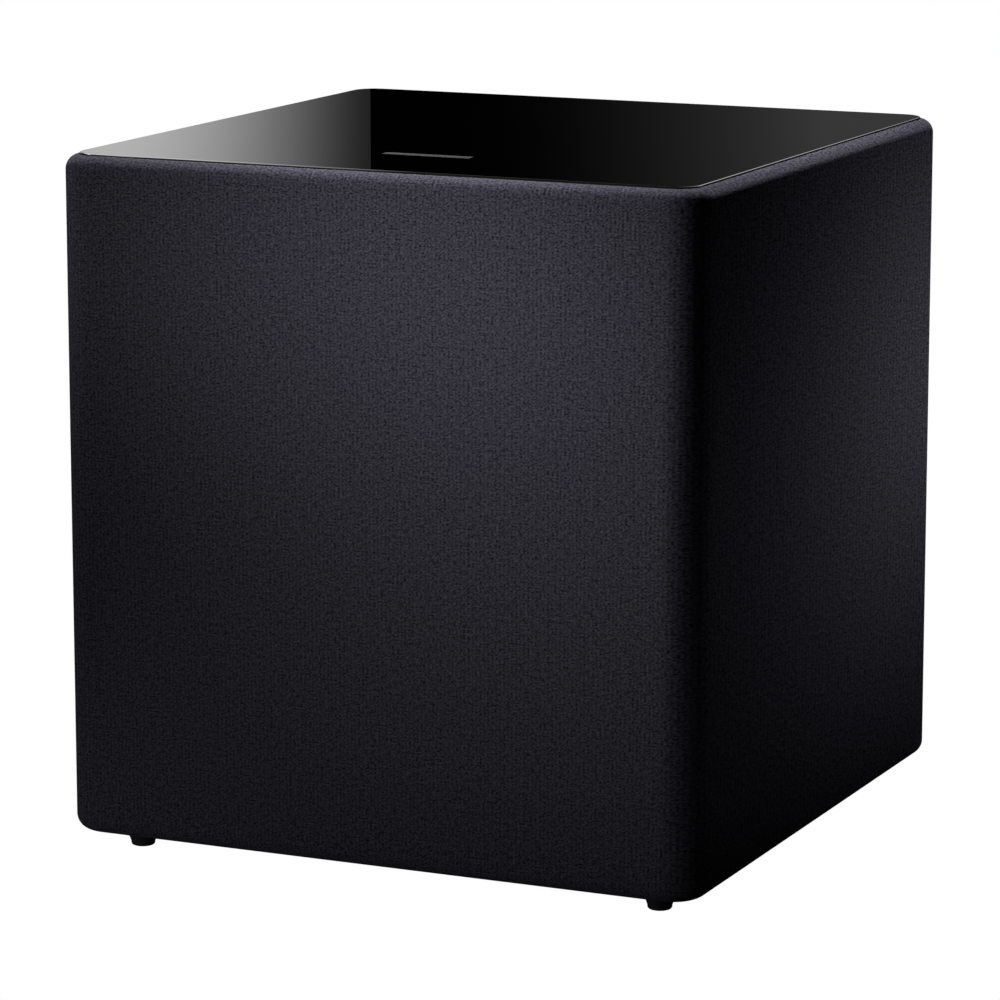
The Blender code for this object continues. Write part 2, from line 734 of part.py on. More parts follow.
def on_plate(spot, y):
    return Vector((spot[0], y, BODY_Z + spot[1]))


def spot_block(name, spot, half, start, end, look=None, radius=0.0, parent=None):
    """A box centred on a place of the plate, between two depths."""
    low = on_plate(spot, start) - Vector((half[0], 0, half[1]))
    high = on_plate(spot, end) + Vector((half[0], 0, half[1]))
    return block(name, low, high, look, radius, 1, 3, parent=parent)


def spot_hole(name, spot, radius, start, end, sides=12):
    return cylinder(name, radius, on_plate(spot, start), on_plate(spot, end), sides=sides)


def amp_plate():
    low = (-AMP_HALF[0], PLATE_INSIDE_Y, BODY_Z - AMP_HALF[1])
    high = (AMP_HALF[0], PLATE_OUTSIDE_Y, BODY_Z + AMP_HALF[1])
    made = block("amp_plate", low, high, PLATE_PAINT, 0.008, 1, 4)
    start = PLATE_INSIDE_Y - OVER
    end = PLATE_OUTSIDE_Y + OVER
    holes = [
        spot_hole("plate_volume", VOLUME_AT, 0.0042, start, end),
        spot_hole("plate_crossover", CROSSOVER_AT, 0.0042, start, end),
        spot_hole("plate_jack_left", JACK_LEFT_AT, 0.0054, start, end),
        spot_hole("plate_jack_right", JACK_RIGHT_AT, 0.0054, start, end),
        spot_block("plate_eq", EQ_AT, (0.003 + EQ_TRAVEL + 0.0006, 0.0025), start, end),
        spot_block("plate_phase", PHASE_AT, (0.003 + PHASE_TRAVEL / 2 + 0.0006, 0.0025), start, end),
        spot_block("plate_expansion", EXPANSION_AT, (0.0083, 0.0068), start, end),
        spot_block("plate_speaker", SPEAKER_AT, (0.0173, 0.0083), start, end),
        spot_block("plate_inlet", INLET_AT, (0.0243, 0.0118), start, end),
    ]
    cut(made, *holes, *screw_holes("plate_screw", start, end))


def screw_holes(name, start, end):
    """Clearance holes for the plate's screws."""
    return [
        cylinder(f"{name}_{index}", AMP_SCREW_RADIUS + 0.0005, (x, start, z), (x, end, z), sides=8)
        for index, (x, z) in enumerate(amp_screw_places(), 1)
    ]


def amp_seal():
    """Foam ring between the cabinet and the plate."""
    outer = (CLOTH_CUTOUT[0] - 0.0005, CLOTH_CUTOUT[1] - 0.0005)
    inner = (AMP_CUTOUT[0] + 0.001, AMP_CUTOUT[1] + 0.001)
    start = REAR_Y + GAP
    end = start + SEAL
    made = plate_opening("amp_seal", outer, start, end, FOAM)
    inside = plate_opening("seal_inside", inner, start - OVER, end + OVER)
    cut(made, inside, *screw_holes("seal_screw", start - OVER, end + OVER))


def amp_screws():
    head = 0.0024
    length = 0.0175
    profile = [
        (0, head),
        (0.0028, head),
        (0.004, head * 0.45),
        (0.004, 0),
        (AMP_SCREW_RADIUS, 0),
        (AMP_SCREW_RADIUS, -length),
        (0, -length - 0.0015),
    ]
    for index, (x, z) in enumerate(amp_screw_places(), 1):
        turn = (-math.pi / 2, 0, 0)
        turned(f"amp_screw_{index}", profile, BLACK_STEEL, 10, (x, OUTSIDE_Y, z), turn, closed=False)


def line_jack(name, spot):
    """Phono socket: threaded barrel, flange and body, with its centre hole."""
    profile = [
        (0, 0.003),
        (0.00155, 0.003),
        (0.00155, 0.0115),
        (0.00415, 0.0115),
        (0.00415, 0.0022),
        (0.0065, 0.0022),
        (0.0065, 0),
        (0.005, 0),
        (0.005, -0.014),
        (0, -0.014),
    ]
    turned(name, profile, PLATED_STEEL, 16, on_plate(spot, OUTSIDE_Y), (-math.pi / 2, 0, 0), closed=False)


def speaker_socket():
    """Recess for a four-way loudspeaker-level plug."""
    made = spot_block(
        "speaker_socket", SPEAKER_AT, (0.017, 0.008), SOCKET_BACK_Y, OUTSIDE_Y + 0.0015, BLACK_PLASTIC
    )
    join(
        made,
        spot_block("speaker_rim", SPEAKER_AT, (0.019, 0.01), OUTSIDE_Y, OUTSIDE_Y + 0.0012, radius=0.001),
    )
    well_floor = SOCKET_BACK_Y + 0.0025
    cut(made, spot_block("speaker_well", SPEAKER_AT, (0.015, 0.005), well_floor, OUTSIDE_Y + OVER))


def expansion_port():
    """Small rectangular port for an accessory receiver."""
    made = spot_block(
        "expansion_port", EXPANSION_AT, (0.008, 0.0065), SOCKET_BACK_Y, OUTSIDE_Y + 0.0012, BLACK_PLASTIC
    )
    join(made, spot_block("expansion_rim", EXPANSION_AT, (0.0095, 0.008), OUTSIDE_Y, OUTSIDE_Y + 0.001))
    well_floor = SOCKET_BACK_Y + 0.002
    cut(made, spot_block("expansion_well", EXPANSION_AT, (0.0062, 0.004), well_floor, OUTSIDE_Y + OVER))


def mains_inlet():
    """Appliance inlet with three pins, and the well that the power rocker sits in."""
    back = PLATE_INSIDE_Y - 0.0215
    face = OUTSIDE_Y + 0.002
    made = spot_block("mains_inlet", INLET_AT, (0.024, 0.0115), back, face - 0.0003, BLACK_PLASTIC)
    join(made, spot_block("inlet_rim", INLET_AT, (0.027, 0.014), OUTSIDE_Y, face, radius=0.002))
    socket_half = (0.0118, 0.0083)
    rocker_half = (0.0066, 0.0094)
    cut(made, spot_block("inlet_well", socket_spot(), socket_half, face - 0.0165, face + OVER, radius=0.002))
    cut(made, spot_block("rocker_well", rocker_spot(), rocker_half, face - 0.011, face + OVER))
    u, v = socket_spot()
    pins = [
        spot_block(f"inlet_pin_{index}", (u + x, v + z), (0.001, 0.002), face - 0.018, face - 0.0025)
        for index, (x, z) in enumerate(((-0.007, -0.001), (0, 0.0032), (0.007, -0.001)), 1)
    ]
    join(made, *pins)


def socket_spot():
    return (INLET_AT[0] - 0.0085, INLET_AT[1])


def rocker_spot():
    return (INLET_AT[0] + 0.0145, INLET_AT[1])


def rocker_switch():
    """Power rocker, resting tilted in its well."""
    shape = cuboid((0.0122, 0.0075, 0.0155))
    bmesh.ops.translate(shape, vec=(0, 0.0003, 0), verts=shape.verts)
    edges = [edge for edge in shape.edges if along(edge, 0)]
    round_edges(shape, edges, 0.0008, 1)
    place("rocker_switch", shape, BLACK_PLASTIC, on_plate(rocker_spot(), OUTSIDE_Y), (ROCKER_TILT, 0, 0))


def knob(name, spot):
    """A turned knob with a pointer slot, on the shaft that reaches into its control."""
    height = REAR_END_Y - OUTSIDE_Y
    shaft = 0.003
    shaft_end = -0.0175
    profile = [
        (0, height),
        (KNOB_RADIUS - 0.002, height),
        (KNOB_RADIUS - 0.001, height - 0.001),
        (KNOB_RADIUS, 0),
        (shaft, 0),
        (shaft, shaft_end),
        (0, shaft_end),
    ]
    axis = pivot(f"{name}_axis", on_plate(spot, OUTSIDE_Y), (-math.pi / 2, 0, 0))
    made = turned(name, profile, BLACK_PLASTIC, 24, parent=axis, closed=False)
    slot_low = (-0.0006, -KNOB_RADIUS - 0.001, height - 0.0012)
    slot_high = (0.0006, -0.003, height + OVER)
    cut(made, block(f"{name}_pointer", slot_low, slot_high, parent=axis))


def slide_switch(name, spot, offset):
    """The lever of a slide switch, standing through its slot in the plate."""
    half = Vector((0.003, 0, 0.0019))
    centre = on_plate(spot, 0) + Vector((offset, 0, 0))
    low = centre - half + Vector((0, CONTROL_BOARD_Y + 0.0155, 0))
    high = centre + half + Vector((0, OUTSIDE_Y + 0.0025, 0))
    block(name, low, high, BLACK_PLASTIC)


def control_board():
    """Circuit board behind the plate, carrying the two controls and the two slide switches."""
    front = CONTROL_BOARD_Y + 0.0016
    made = spot_block("control_board", (0, 0.052), (0.075, 0.05), CONTROL_BOARD_Y, front, CIRCUIT)
    body = front - 0.0002
    parts = [
        spot_block("control_volume", VOLUME_AT, (0.008, 0.008), body, front + 0.012),
        spot_block("control_crossover", CROSSOVER_AT, (0.008, 0.008), body, front + 0.012),
        spot_block("control_eq", EQ_AT, (0.012, 0.005), body, front + 0.0125),
        spot_block("control_phase", PHASE_AT, (0.012, 0.005), body, front + 0.0125),
    ]
    join(made, *parts)
    bores = [
        spot_hole(f"control_bore_{index}", spot, 0.0035, front + 0.002, front + 0.02)
        for index, spot in enumerate((VOLUME_AT, CROSSOVER_AT), 1)
    ]
    cut(made, *bores)


def amp_board():
    """Power amplifier and supply board on four posts from the plate, with its capacitors and coil."""
    front = AMP_BOARD_Y
    back = front + 0.0016
    made = spot_block("amp_board", (0, 0), (0.09, 0.115), front, back, CIRCUIT)
    parts = [
        spot_hole(f"amp_post_{x}_{z}", (x * 0.084, z * 0.109), 0.003, front, PLATE_INSIDE_Y - GAP, 8)
        for x in (-1, 1)
        for z in (-1, 1)
    ]
    parts += [
        spot_hole(f"amp_capacitor_{index}", (x, 0.088), 0.0125, front - 0.032, back - 0.0002, 16)
        for index, x in enumerate((0.02, 0.05), 1)
    ]
    parts.append(spot_block("amp_coil", (-0.06, -0.02), (0.014, 0.014), front - 0.02, back - 0.0002))
    join(made, *parts)


def transformer():
    """Toroidal mains transformer on the amplifier board."""
    end = AMP_BOARD_Y - GAP
    profile = arc((0.032, 0), 0.0165, 0, 360, 8)[:-1]
    at = on_plate((0.03, -0.03), end - 0.0165)
    turned("transformer", profile, TAPE, 20, at, (-math.pi / 2, 0, 0))


def heat_sink():
    """Finned aluminium block on the inside of the plate."""
    wall = PLATE_INSIDE_Y - GAP
    u, v = (0.04, -0.08)
    pitch = 0.012
    made = spot_block("heat_sink", (u, v), (3 * pitch, 0.032), wall - 0.03, wall, HEAT_SINK)
    slots = [
        spot_block(f"fin_slot_{i + 3}", (u + i * pitch, v), (0.0042, 0.04), wall - 0.04, wall - 0.005)
        for i in range(-2, 3)
    ]
    cut(made, *slots)


def driver_cable():
    """Cable from the amplifier board, through a brace window, to the driver's terminals."""
    end_y = FLANGE_Y + 0.065 + GAP
    route = [
        (-0.05, AMP_BOARD_Y - GAP, BODY_Z + 0.05),
        (-0.052, AMP_BOARD_Y - 0.03, BODY_Z + 0.05),
        (-0.07, 0.05, BODY_Z + 0.062),
        (-0.09, -0.01, BODY_Z + 0.06),
        (-0.105, -0.06, BODY_Z + 0.035),
        (-0.103, end_y + 0.02, BODY_Z + 0.003),
        (-0.1025, end_y + 0.008, BODY_Z),
        (-0.1025, end_y + 0.0004, BODY_Z),
    ]
    wire("driver_cable", route, 0.0026, BLACK_RUBBER)


def amplifier():
    amp_plate()
    amp_seal()
    amp_screws()
    line_jack("line_jack_left", JACK_LEFT_AT)
    line_jack("line_jack_right", JACK_RIGHT_AT)
    speaker_socket()
    expansion_port()
    mains_inlet()
    rocker_switch()
    knob("volume_knob", VOLUME_AT)
    knob("crossover_knob", CROSSOVER_AT)
    slide_switch("eq_switch", EQ_AT, 0.0)
    slide_switch("phase_switch", PHASE_AT, -PHASE_TRAVEL / 2)
    control_board()
    amp_board()
    transformer()
    heat_sink()
    driver_cable()


cabinet()
front_baffle()
window_brace()
guard_grille()
cloth_sleeve()
top_panel()
feet()
driver()
amplifier()
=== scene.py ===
"""Looks of a powered subwoofer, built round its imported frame: a knitted cloth sleeve, a gloss top panel,
rubber feet, the amplifier plate with its controls, and the driver behind the cloth.

Metres, +Z up, front towards -Y."""

import math

import bmesh
import bpy
from mathutils import Matrix, Vector


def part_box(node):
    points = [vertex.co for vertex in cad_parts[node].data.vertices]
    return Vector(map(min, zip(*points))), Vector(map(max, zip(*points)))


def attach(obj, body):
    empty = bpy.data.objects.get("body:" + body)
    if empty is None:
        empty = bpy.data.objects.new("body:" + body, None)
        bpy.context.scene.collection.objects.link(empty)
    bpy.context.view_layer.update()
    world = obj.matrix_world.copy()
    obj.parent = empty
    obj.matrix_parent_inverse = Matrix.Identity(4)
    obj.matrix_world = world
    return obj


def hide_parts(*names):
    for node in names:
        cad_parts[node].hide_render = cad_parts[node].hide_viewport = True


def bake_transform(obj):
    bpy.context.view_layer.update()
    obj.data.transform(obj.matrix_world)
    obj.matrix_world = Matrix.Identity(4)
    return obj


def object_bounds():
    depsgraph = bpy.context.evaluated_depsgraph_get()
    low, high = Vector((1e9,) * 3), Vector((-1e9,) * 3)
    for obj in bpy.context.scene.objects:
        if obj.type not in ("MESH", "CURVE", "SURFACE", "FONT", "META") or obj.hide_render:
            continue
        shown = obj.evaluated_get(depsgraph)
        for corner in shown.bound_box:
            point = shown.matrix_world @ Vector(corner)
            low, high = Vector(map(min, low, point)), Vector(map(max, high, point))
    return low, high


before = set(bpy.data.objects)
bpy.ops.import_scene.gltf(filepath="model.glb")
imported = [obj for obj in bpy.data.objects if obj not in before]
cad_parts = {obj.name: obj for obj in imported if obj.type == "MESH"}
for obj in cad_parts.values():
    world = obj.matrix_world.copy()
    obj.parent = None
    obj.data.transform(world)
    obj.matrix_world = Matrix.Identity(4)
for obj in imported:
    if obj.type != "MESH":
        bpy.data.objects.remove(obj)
CAD_LOW, CAD_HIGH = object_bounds()

MM = 0.001

# Body, read from the frame
SLEEVE_LOW, SLEEVE_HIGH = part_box("cloth_sleeve")
PANEL_LOW, PANEL_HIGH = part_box("top_panel")
PLATE_LOW, PLATE_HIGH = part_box("amp_plate")
SEAL_LOW, SEAL_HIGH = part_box("amp_seal")
BODY_MIDDLE = (SLEEVE_LOW + SLEEVE_HIGH) / 2
HALF_WIDTH = (SLEEVE_HIGH.x - SLEEVE_LOW.x) / 2
HALF_DEPTH = (SLEEVE_HIGH.y - SLEEVE_LOW.y) / 2

# Shape of the cloth
CORNER_RADIUS = 21.5 * MM
TOP_ROLL = 8.5 * MM
BOTTOM_ROLL = 9 * MM
HEM = 18 * MM
CLOTH = 0.9 * MM
TUCK = 7.4 * MM
TUCK_DEPTH = 2.4 * MM
OPENING_GAP = 0.5 * MM
SIDE_PULL = 0.56  # how far the knit is drawn out round the two sides

# Camera and its heading
AZIMUTH = math.radians(24.34)
ELEVATION = math.radians(11.17)
DISTANCE = 2.75
LENS = 167.4
AIM_RIGHT = -7.6 * MM
AIM_UP = -20.0 * MM
RIGHT = Vector((math.cos(AZIMUTH), math.sin(AZIMUTH), 0))
AHEAD = Vector((-math.sin(AZIMUTH), math.cos(AZIMUTH), 0))


# -------------------- camera


def make_camera():
    back = -AHEAD * math.cos(ELEVATION) + Vector((0, 0, math.sin(ELEVATION)))
    aim = BODY_MIDDLE + RIGHT * AIM_RIGHT + back.cross(RIGHT) * AIM_UP
    data = bpy.data.cameras.new("camera")
    data.lens = LENS
    data.clip_start = 0.1
    data.clip_end = 100
    camera = bpy.data.objects.new("camera", data)
    camera.location = aim + back * DISTANCE
    camera.rotation_euler = back.to_track_quat("Z", "Y").to_euler()
    bpy.context.scene.camera = link(camera)


# -------------------- node helpers


class Nodes:
    """A node tree with short calls: each call makes a node and returns its first output."""

    def __init__(self, tree):
        self.tree = tree

    def add(self, kind, values=(), out=0, **settings):
        node = self.tree.nodes.new(kind)
        for name, value in settings.items():
            setattr(node, name, value)
        for name, value in dict(values).items():
            self.set(node.inputs[name], value)
        return node.outputs[out]

    def set(self, socket, value):
        if isinstance(value, bpy.types.NodeSocket):
            self.tree.links.new(value, socket)
        else:
            socket.default_value = value

    def math(self, operation, *values, clamp=False):
        return self.add("ShaderNodeMath", enumerate(values), operation=operation, use_clamp=clamp)

    def spread(self, value, low, high, to_low=0.0, to_high=1.0, kind="LINEAR"):
        """Maps low..high to to_low..to_high, clamped."""
        values = {"Value": value, "From Min": low, "From Max": high, "To Min": to_low, "To Max": to_high}
        return self.add("ShaderNodeMapRange", values, interpolation_type=kind)

    def colour(self, share, first, second):
        node = self.tree.nodes.new("ShaderNodeMix")
        node.data_type = "RGBA"
        self.set(node.inputs["Factor"], share)
        self.set(node.inputs["A"], (*first, 1) if isinstance(first, tuple) else first)
        self.set(node.inputs["B"], (*second, 1) if isinstance(second, tuple) else second)
        return node.outputs["Result"]

    def noise(self, vector, size, detail=2.0, roughness=0.5):
        """Noise whose grains are about size metres across."""
        values = {"Vector": vector, "Scale": 1 / size, "Detail": detail, "Roughness": roughness}
        return self.add("ShaderNodeTexNoise", values)

    def place(self, stretch=(1, 1, 1)):
        """Place on the object in metres, stretched along its axes."""
        place = self.add("ShaderNodeTexCoord", out=3)
        if stretch == (1, 1, 1):
            return place
        return self.add("ShaderNodeMapping", {"Vector": place, "Scale": stretch})

    def bump(self, height, depth, strength=1.0):
        return self.add("ShaderNodeBump", {"Height": height, "Distance": depth, "Strength": strength})


def material(name, roughness=0.5, metallic=0.0, **constants):
    """A Principled material: (material, its nodes, its shader)."""
    made = bpy.data.materials.new(name)
    made.use_nodes = True
    shader = made.node_tree.nodes["Principled BSDF"]
    shader.inputs["Roughness"].default_value = roughness
    shader.inputs["Metallic"].default_value = metallic
    for key, value in constants.items():
        shader.inputs[key.replace("_", " ").title().replace("Ior", "IOR")].default_value = value
    return made, Nodes(made.node_tree), shader


def grained(name, dark, light, roughness, grain, depth, stretch=(1, 1, 1), detail=3.0, **constants):
    """A surface with its own grain: colour, roughness and relief follow one noise."""
    made, nodes, shader = material(name, **constants)
    place = nodes.place(stretch)
    fine = nodes.noise(place, grain, detail)
    slow = nodes.noise(nodes.place(), grain * 30, 2.0)
    mixed = nodes.math("ADD", nodes.math("MULTIPLY", fine, 0.7), nodes.math("MULTIPLY", slow, 0.3))
    share = nodes.spread(mixed, 0.35, 0.65)
    nodes.set(shader.inputs["Base Color"], nodes.colour(share, dark, light))
    nodes.set(shader.inputs["Roughness"], nodes.spread(mixed, 0.3, 0.7, *roughness))
    nodes.set(shader.inputs["Normal"], nodes.bump(fine, depth))
    return made


# -------------------- materials


CLOTH_DARK = (0.0075, 0.007, 0.0093)
CLOTH_LIGHT = (0.0495, 0.0475, 0.062)
LACQUER_DARK = (0.00006, 0.00006, 0.00007)
LACQUER_LIGHT = (0.00012, 0.00012, 0.00014)
WALE = 2.4 * MM
STITCH = 2.2 * MM


def knitted_cloth():
    """Black fine rib knit: faint vertical wales, short stitches up each wale, and uneven yarn."""
    made, nodes, shader = material(
        "knitted_cloth", 0.95, specular_ior_level=0.0, sheen_weight=0.03, sheen_roughness=0.5
    )
    shader.inputs["Sheen Tint"].default_value = (0.85, 0.83, 1, 1)
    weave = nodes.add("ShaderNodeUVMap", uv_map="weave")
    across = nodes.add("ShaderNodeSeparateXYZ", {"Vector": weave}, out=0)
    up = nodes.add("ShaderNodeSeparateXYZ", {"Vector": weave}, out=1)
    lying = nodes.add("ShaderNodeMapping", {"Vector": weave, "Scale": (0.66, 1, 1)})
    drift = nodes.math("MULTIPLY", nodes.math("SUBTRACT", nodes.noise(weave, 7 * MM), 0.5), 3 * MM)
    wale = nodes.math("DIVIDE", nodes.math("ADD", across, drift), WALE)
    rib = nodes.math("COSINE", nodes.math("MULTIPLY", wale, math.tau))
    leaning = nodes.math("ADD", nodes.math("DIVIDE", nodes.math("ADD", up, drift), STITCH), wale)
    stitch = nodes.math("COSINE", nodes.math("MULTIPLY", leaning, math.tau))
    yarn = nodes.noise(lying, 0.95 * MM, 0.0)
    mottle = nodes.noise(lying, 2.3 * MM, 1.0)
    knit = nodes.math("ADD", nodes.math("MULTIPLY", rib, 0.045), nodes.math("MULTIPLY", stitch, 0.03))
    grain = nodes.math("ADD", nodes.math("MULTIPLY", yarn, 0.65), nodes.math("MULTIPLY", mottle, 0.35))
    height = nodes.math("ADD", knit, grain)
    share = nodes.spread(height, 0.27, 0.73)
    nodes.set(shader.inputs["Base Color"], nodes.colour(share, CLOTH_DARK, CLOTH_LIGHT))
    nodes.set(shader.inputs["Normal"], nodes.bump(height, 0.25 * MM, 0.8))
    return made


def gloss_lacquer():
    """Polished black panel, with faint unevenness in its shine."""
    made, nodes, shader = material("gloss_lacquer", 0.01, specular_ior_level=0.5)
    haze = nodes.noise(nodes.place(), 35 * MM, 4.0)
    nodes.set(shader.inputs["Roughness"], nodes.spread(haze, 0.3, 0.75, 0.004, 0.016))
    specks = nodes.spread(nodes.noise(nodes.place(), 0.4 * MM, 1.0), 0.3, 0.8)
    shade = nodes.colour(specks, LACQUER_DARK, LACQUER_LIGHT)
    nodes.set(shader.inputs["Base Color"], shade)
    return made


CLOTH_LOOK = knitted_cloth()
LACQUER = gloss_lacquer()
RUBBER = grained(
    "rubber", (0.004, 0.004, 0.004), (0.009, 0.009, 0.009), (0.65, 0.9), 0.5 * MM, 0.03 * MM,
    specular_ior_level=0.3,
)
BOARD = grained(
    "painted_board", (0.012, 0.012, 0.012), (0.022, 0.021, 0.02), (0.6, 0.85), 1.2 * MM, 0.08 * MM
)
PLASTIC = grained(
    "moulded_plastic", (0.01, 0.01, 0.0105), (0.017, 0.017, 0.018), (0.35, 0.55), 0.35 * MM, 0.02 * MM
)
CAST = grained(
    "cast_frame_paint", (0.018, 0.018, 0.019), (0.035, 0.035, 0.037), (0.35, 0.6), 0.8 * MM, 0.06 * MM
)
NICKEL = grained(
    "nickel", (0.5, 0.49, 0.46), (0.68, 0.67, 0.64), (0.15, 0.35), 0.6 * MM, 0.005 * MM, (1, 8, 1),
    metallic=1.0,
)
STEEL = grained(
    "blackened_steel", (0.02, 0.02, 0.021), (0.06, 0.06, 0.062), (0.25, 0.5), 0.5 * MM, 0.01 * MM,
    metallic=0.9,
)
FERRITE = grained("ferrite", (0.03, 0.03, 0.033), (0.065, 0.065, 0.07), (0.5, 0.8), 0.6 * MM, 0.05 * MM)
PAPER = grained(
    "cone_paper", (0.01, 0.01, 0.0105), (0.028, 0.028, 0.03), (0.65, 0.9), 1.1 * MM, 0.12 * MM
)
COPPER = grained(
    "copper", (0.5, 0.2, 0.1), (0.8, 0.4, 0.25), (0.2, 0.4), 0.4 * MM, 0.02 * MM, (1, 6, 1), metallic=1.0
)
POWDER = grained(
    "powder_coat", (0.011, 0.011, 0.012), (0.024, 0.024, 0.026), (0.4, 0.62), 0.7 * MM, 0.09 * MM
)
FOAM = grained("foam", (0.012, 0.012, 0.012), (0.03, 0.03, 0.03), (0.85, 1.0), 0.6 * MM, 0.3 * MM)
INLAY = grained(
    "satin_inlay", (0.014, 0.014, 0.014), (0.021, 0.021, 0.021), (0.6, 0.8), 0.6 * MM, 0.01 * MM,
    specular_ior_level=0.0,
)
SINK = grained(
    "black_anodised", (0.02, 0.02, 0.022), (0.045, 0.045, 0.05), (0.3, 0.5), 0.5 * MM, 0.01 * MM,
    metallic=0.85,
)
SPIDER = grained("spider_cloth", (0.3, 0.17, 0.05), (0.55, 0.36, 0.14), (0.8, 1.0), 0.7 * MM, 0.2 * MM)
CIRCUIT = grained(
    "circuit_board", (0.006, 0.06, 0.022), (0.012, 0.12, 0.05), (0.3, 0.5), 2 * MM, 0.03 * MM
)
INK = grained("white_ink", (0.5, 0.5, 0.5), (0.66, 0.66, 0.65), (0.5, 0.7), 0.4 * MM, 0.01 * MM)
WHITE_PLASTIC = grained(
    "white_plastic", (0.55, 0.55, 0.53), (0.7, 0.7, 0.68), (0.25, 0.4), 0.5 * MM, 0.01 * MM
)
RED_PLASTIC = grained(
    "red_plastic", (0.35, 0.01, 0.01), (0.5, 0.02, 0.015), (0.25, 0.4), 0.5 * MM, 0.01 * MM
)
BRASS = grained(
    "brass", (0.6, 0.42, 0.14), (0.8, 0.6, 0.25), (0.2, 0.35), 0.4 * MM, 0.01 * MM, metallic=1.0
)
TAPE = grained("transformer_tape", (0.5, 0.38, 0.05), (0.8, 0.65, 0.14), (0.3, 0.5), 1.5 * MM, 0.05 * MM)

# Nodes not named here are plastic, apart from the feet and screws
LOOKS = (
    (BOARD, "front_frame", "rear_board", "left_board", "right_board", "top_board", "bottom_board"),
    (BOARD, "front_baffle", "window_brace"),
    (CLOTH_LOOK, "cloth_sleeve"),
    (LACQUER, "top_panel"),
    (CAST, "driver_basket"),
    (FOAM, "driver_gasket", "amp_seal"),
    (STEEL, "front_plate", "yoke"),
    (FERRITE, "magnet"),
    (PAPER, "cone", "dust_cap"),
    (COPPER, "voice_coil", "tinsel_lead_left", "tinsel_lead_right"),
    (RUBBER, "surround", "driver_cable"),
    (SPIDER, "spider"),
    (POWDER, "amp_plate"),
    (NICKEL, "line_jack_left", "line_jack_right"),
    (CIRCUIT, "control_board", "amp_board"),
    (TAPE, "transformer"),
    (SINK, "heat_sink"),
)
NODE_LOOKS = {node: look for look, *nodes in LOOKS for node in nodes}


def look_of(node):
    if node.startswith("foot_"):
        return RUBBER
    if "_screw_" in node:
        return STEEL
    return NODE_LOOKS.get(node, PLASTIC)


def finish_nodes():
    """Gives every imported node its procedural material."""
    for name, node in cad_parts.items():
        node.data.materials.clear()
        node.data.materials.append(look_of(name))


# -------------------- mesh helpers


def link(made):
    bpy.context.scene.collection.objects.link(made)
    return made


def mesh_of(name, shape):
    """A mesh from a bmesh, which is freed."""
    mesh = bpy.data.meshes.new(name)
    shape.to_mesh(mesh)
    shape.free()
    return mesh


def final_mesh(made):
    """The mesh of an object with its modifiers applied, or of a curve or text."""
    return bpy.data.meshes.new_from_object(made.evaluated_get(bpy.context.evaluated_depsgraph_get()))


def absorb(shape, mesh):
    """Adds a mesh to a bmesh and deletes it."""
    shape.from_mesh(mesh)
    bpy.data.meshes.remove(mesh)


def piece(name, shape, look, node, body="cabinet", angle=35):
    """A piece from a bmesh, shaded smooth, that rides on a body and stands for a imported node."""
    mesh = mesh_of(name, shape)
    mesh.materials.append(look)
    mesh.shade_smooth()
    mesh.set_sharp_from_angle(angle=math.radians(angle))
    made = link(bpy.data.objects.new(name, mesh))
    if body:
        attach(made, body)
    if node:
        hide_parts(node)
    return made


def arc(centre, radius, start, end, steps):
    """Points round part of a circle, angles in degrees."""
    angles = [math.radians(start + (end - start) * i / steps) for i in range(steps + 1)]
    return [(centre[0] + radius * math.cos(a), centre[1] + radius * math.sin(a)) for a in angles]


def between(low, high, count):
    """Evenly spaced values, without the first."""
    return [low + (high - low) * i / count for i in range(1, count + 1)]


# -------------------- cloth sleeve


def sleeve_outline():
    """Stations round the sleeve from the middle of the rear, as (point, outward direction)."""
    reach_x = HALF_WIDTH - CORNER_RADIUS
    reach_y = HALF_DEPTH - CORNER_RADIUS
    opening = SEAL_HIGH.x + OPENING_GAP
    rear = [0.0, *between(0, opening, 22), *between(opening, reach_x, 12)]
    stations = [(Vector((x, HALF_DEPTH, 0)), Vector((0, 1, 0))) for x in rear]
    corners = (reach_x, reach_y), (reach_x, -reach_y), (-reach_x, -reach_y), (-reach_x, reach_y)
    side_steps = 72
    corner_steps = 12
    for start, turn in zip(corners, (90, 0, -90, -180)):
        for point in arc(start, CORNER_RADIUS, turn, turn - 90, corner_steps)[1:]:
            out = (Vector(point) - Vector(start)).normalized()
            stations.append((Vector((*point, 0)), Vector((*out, 0))))
        if turn > -180:
            last, out = stations[-1]
            run = Vector((-out.y, out.x, 0)) * -1
            length = 2 * (reach_y if abs(out.x) > 0.5 else reach_x)
            stations += [(last + run * step, out) for step in between(0, length, side_steps)]
    stations += [(Vector((-x, HALF_DEPTH, 0)), Vector((0, 1, 0))) for x in reversed(rear[1:-1])]
    return stations


def sleeve_profile():
    """From the hem under the body, round the bottom, up the wall, over the top and into the groove."""
    low = SLEEVE_LOW.z
    high = SLEEVE_HIGH.z
    opening = (SEAL_LOW.z - OPENING_GAP, SEAL_HIGH.z + OPENING_GAP)
    lean = math.degrees(math.asin((TOP_ROLL - TUCK) / TOP_ROLL))
    wall_low = low + BOTTOM_ROLL
    wall_high = high - TOP_ROLL
    below = between(wall_low, opening[0], 10)
    beside = between(*opening, 50)
    above = between(opening[1], wall_high, 10)
    crest = arc((TOP_ROLL, wall_high), TOP_ROLL, 180, 90 + lean, 10)
    return [
        *[(HEM - x, low) for x in (0.0, 3 * MM, 6 * MM)],
        *arc((BOTTOM_ROLL, wall_low), BOTTOM_ROLL, 270, 180, 10),
        *[(0.0, z) for z in below + beside + above],
        *crest[1:],
        *[(TUCK, crest[-1][1] - z) for z in between(0, TUCK_DEPTH, 4)],
    ]


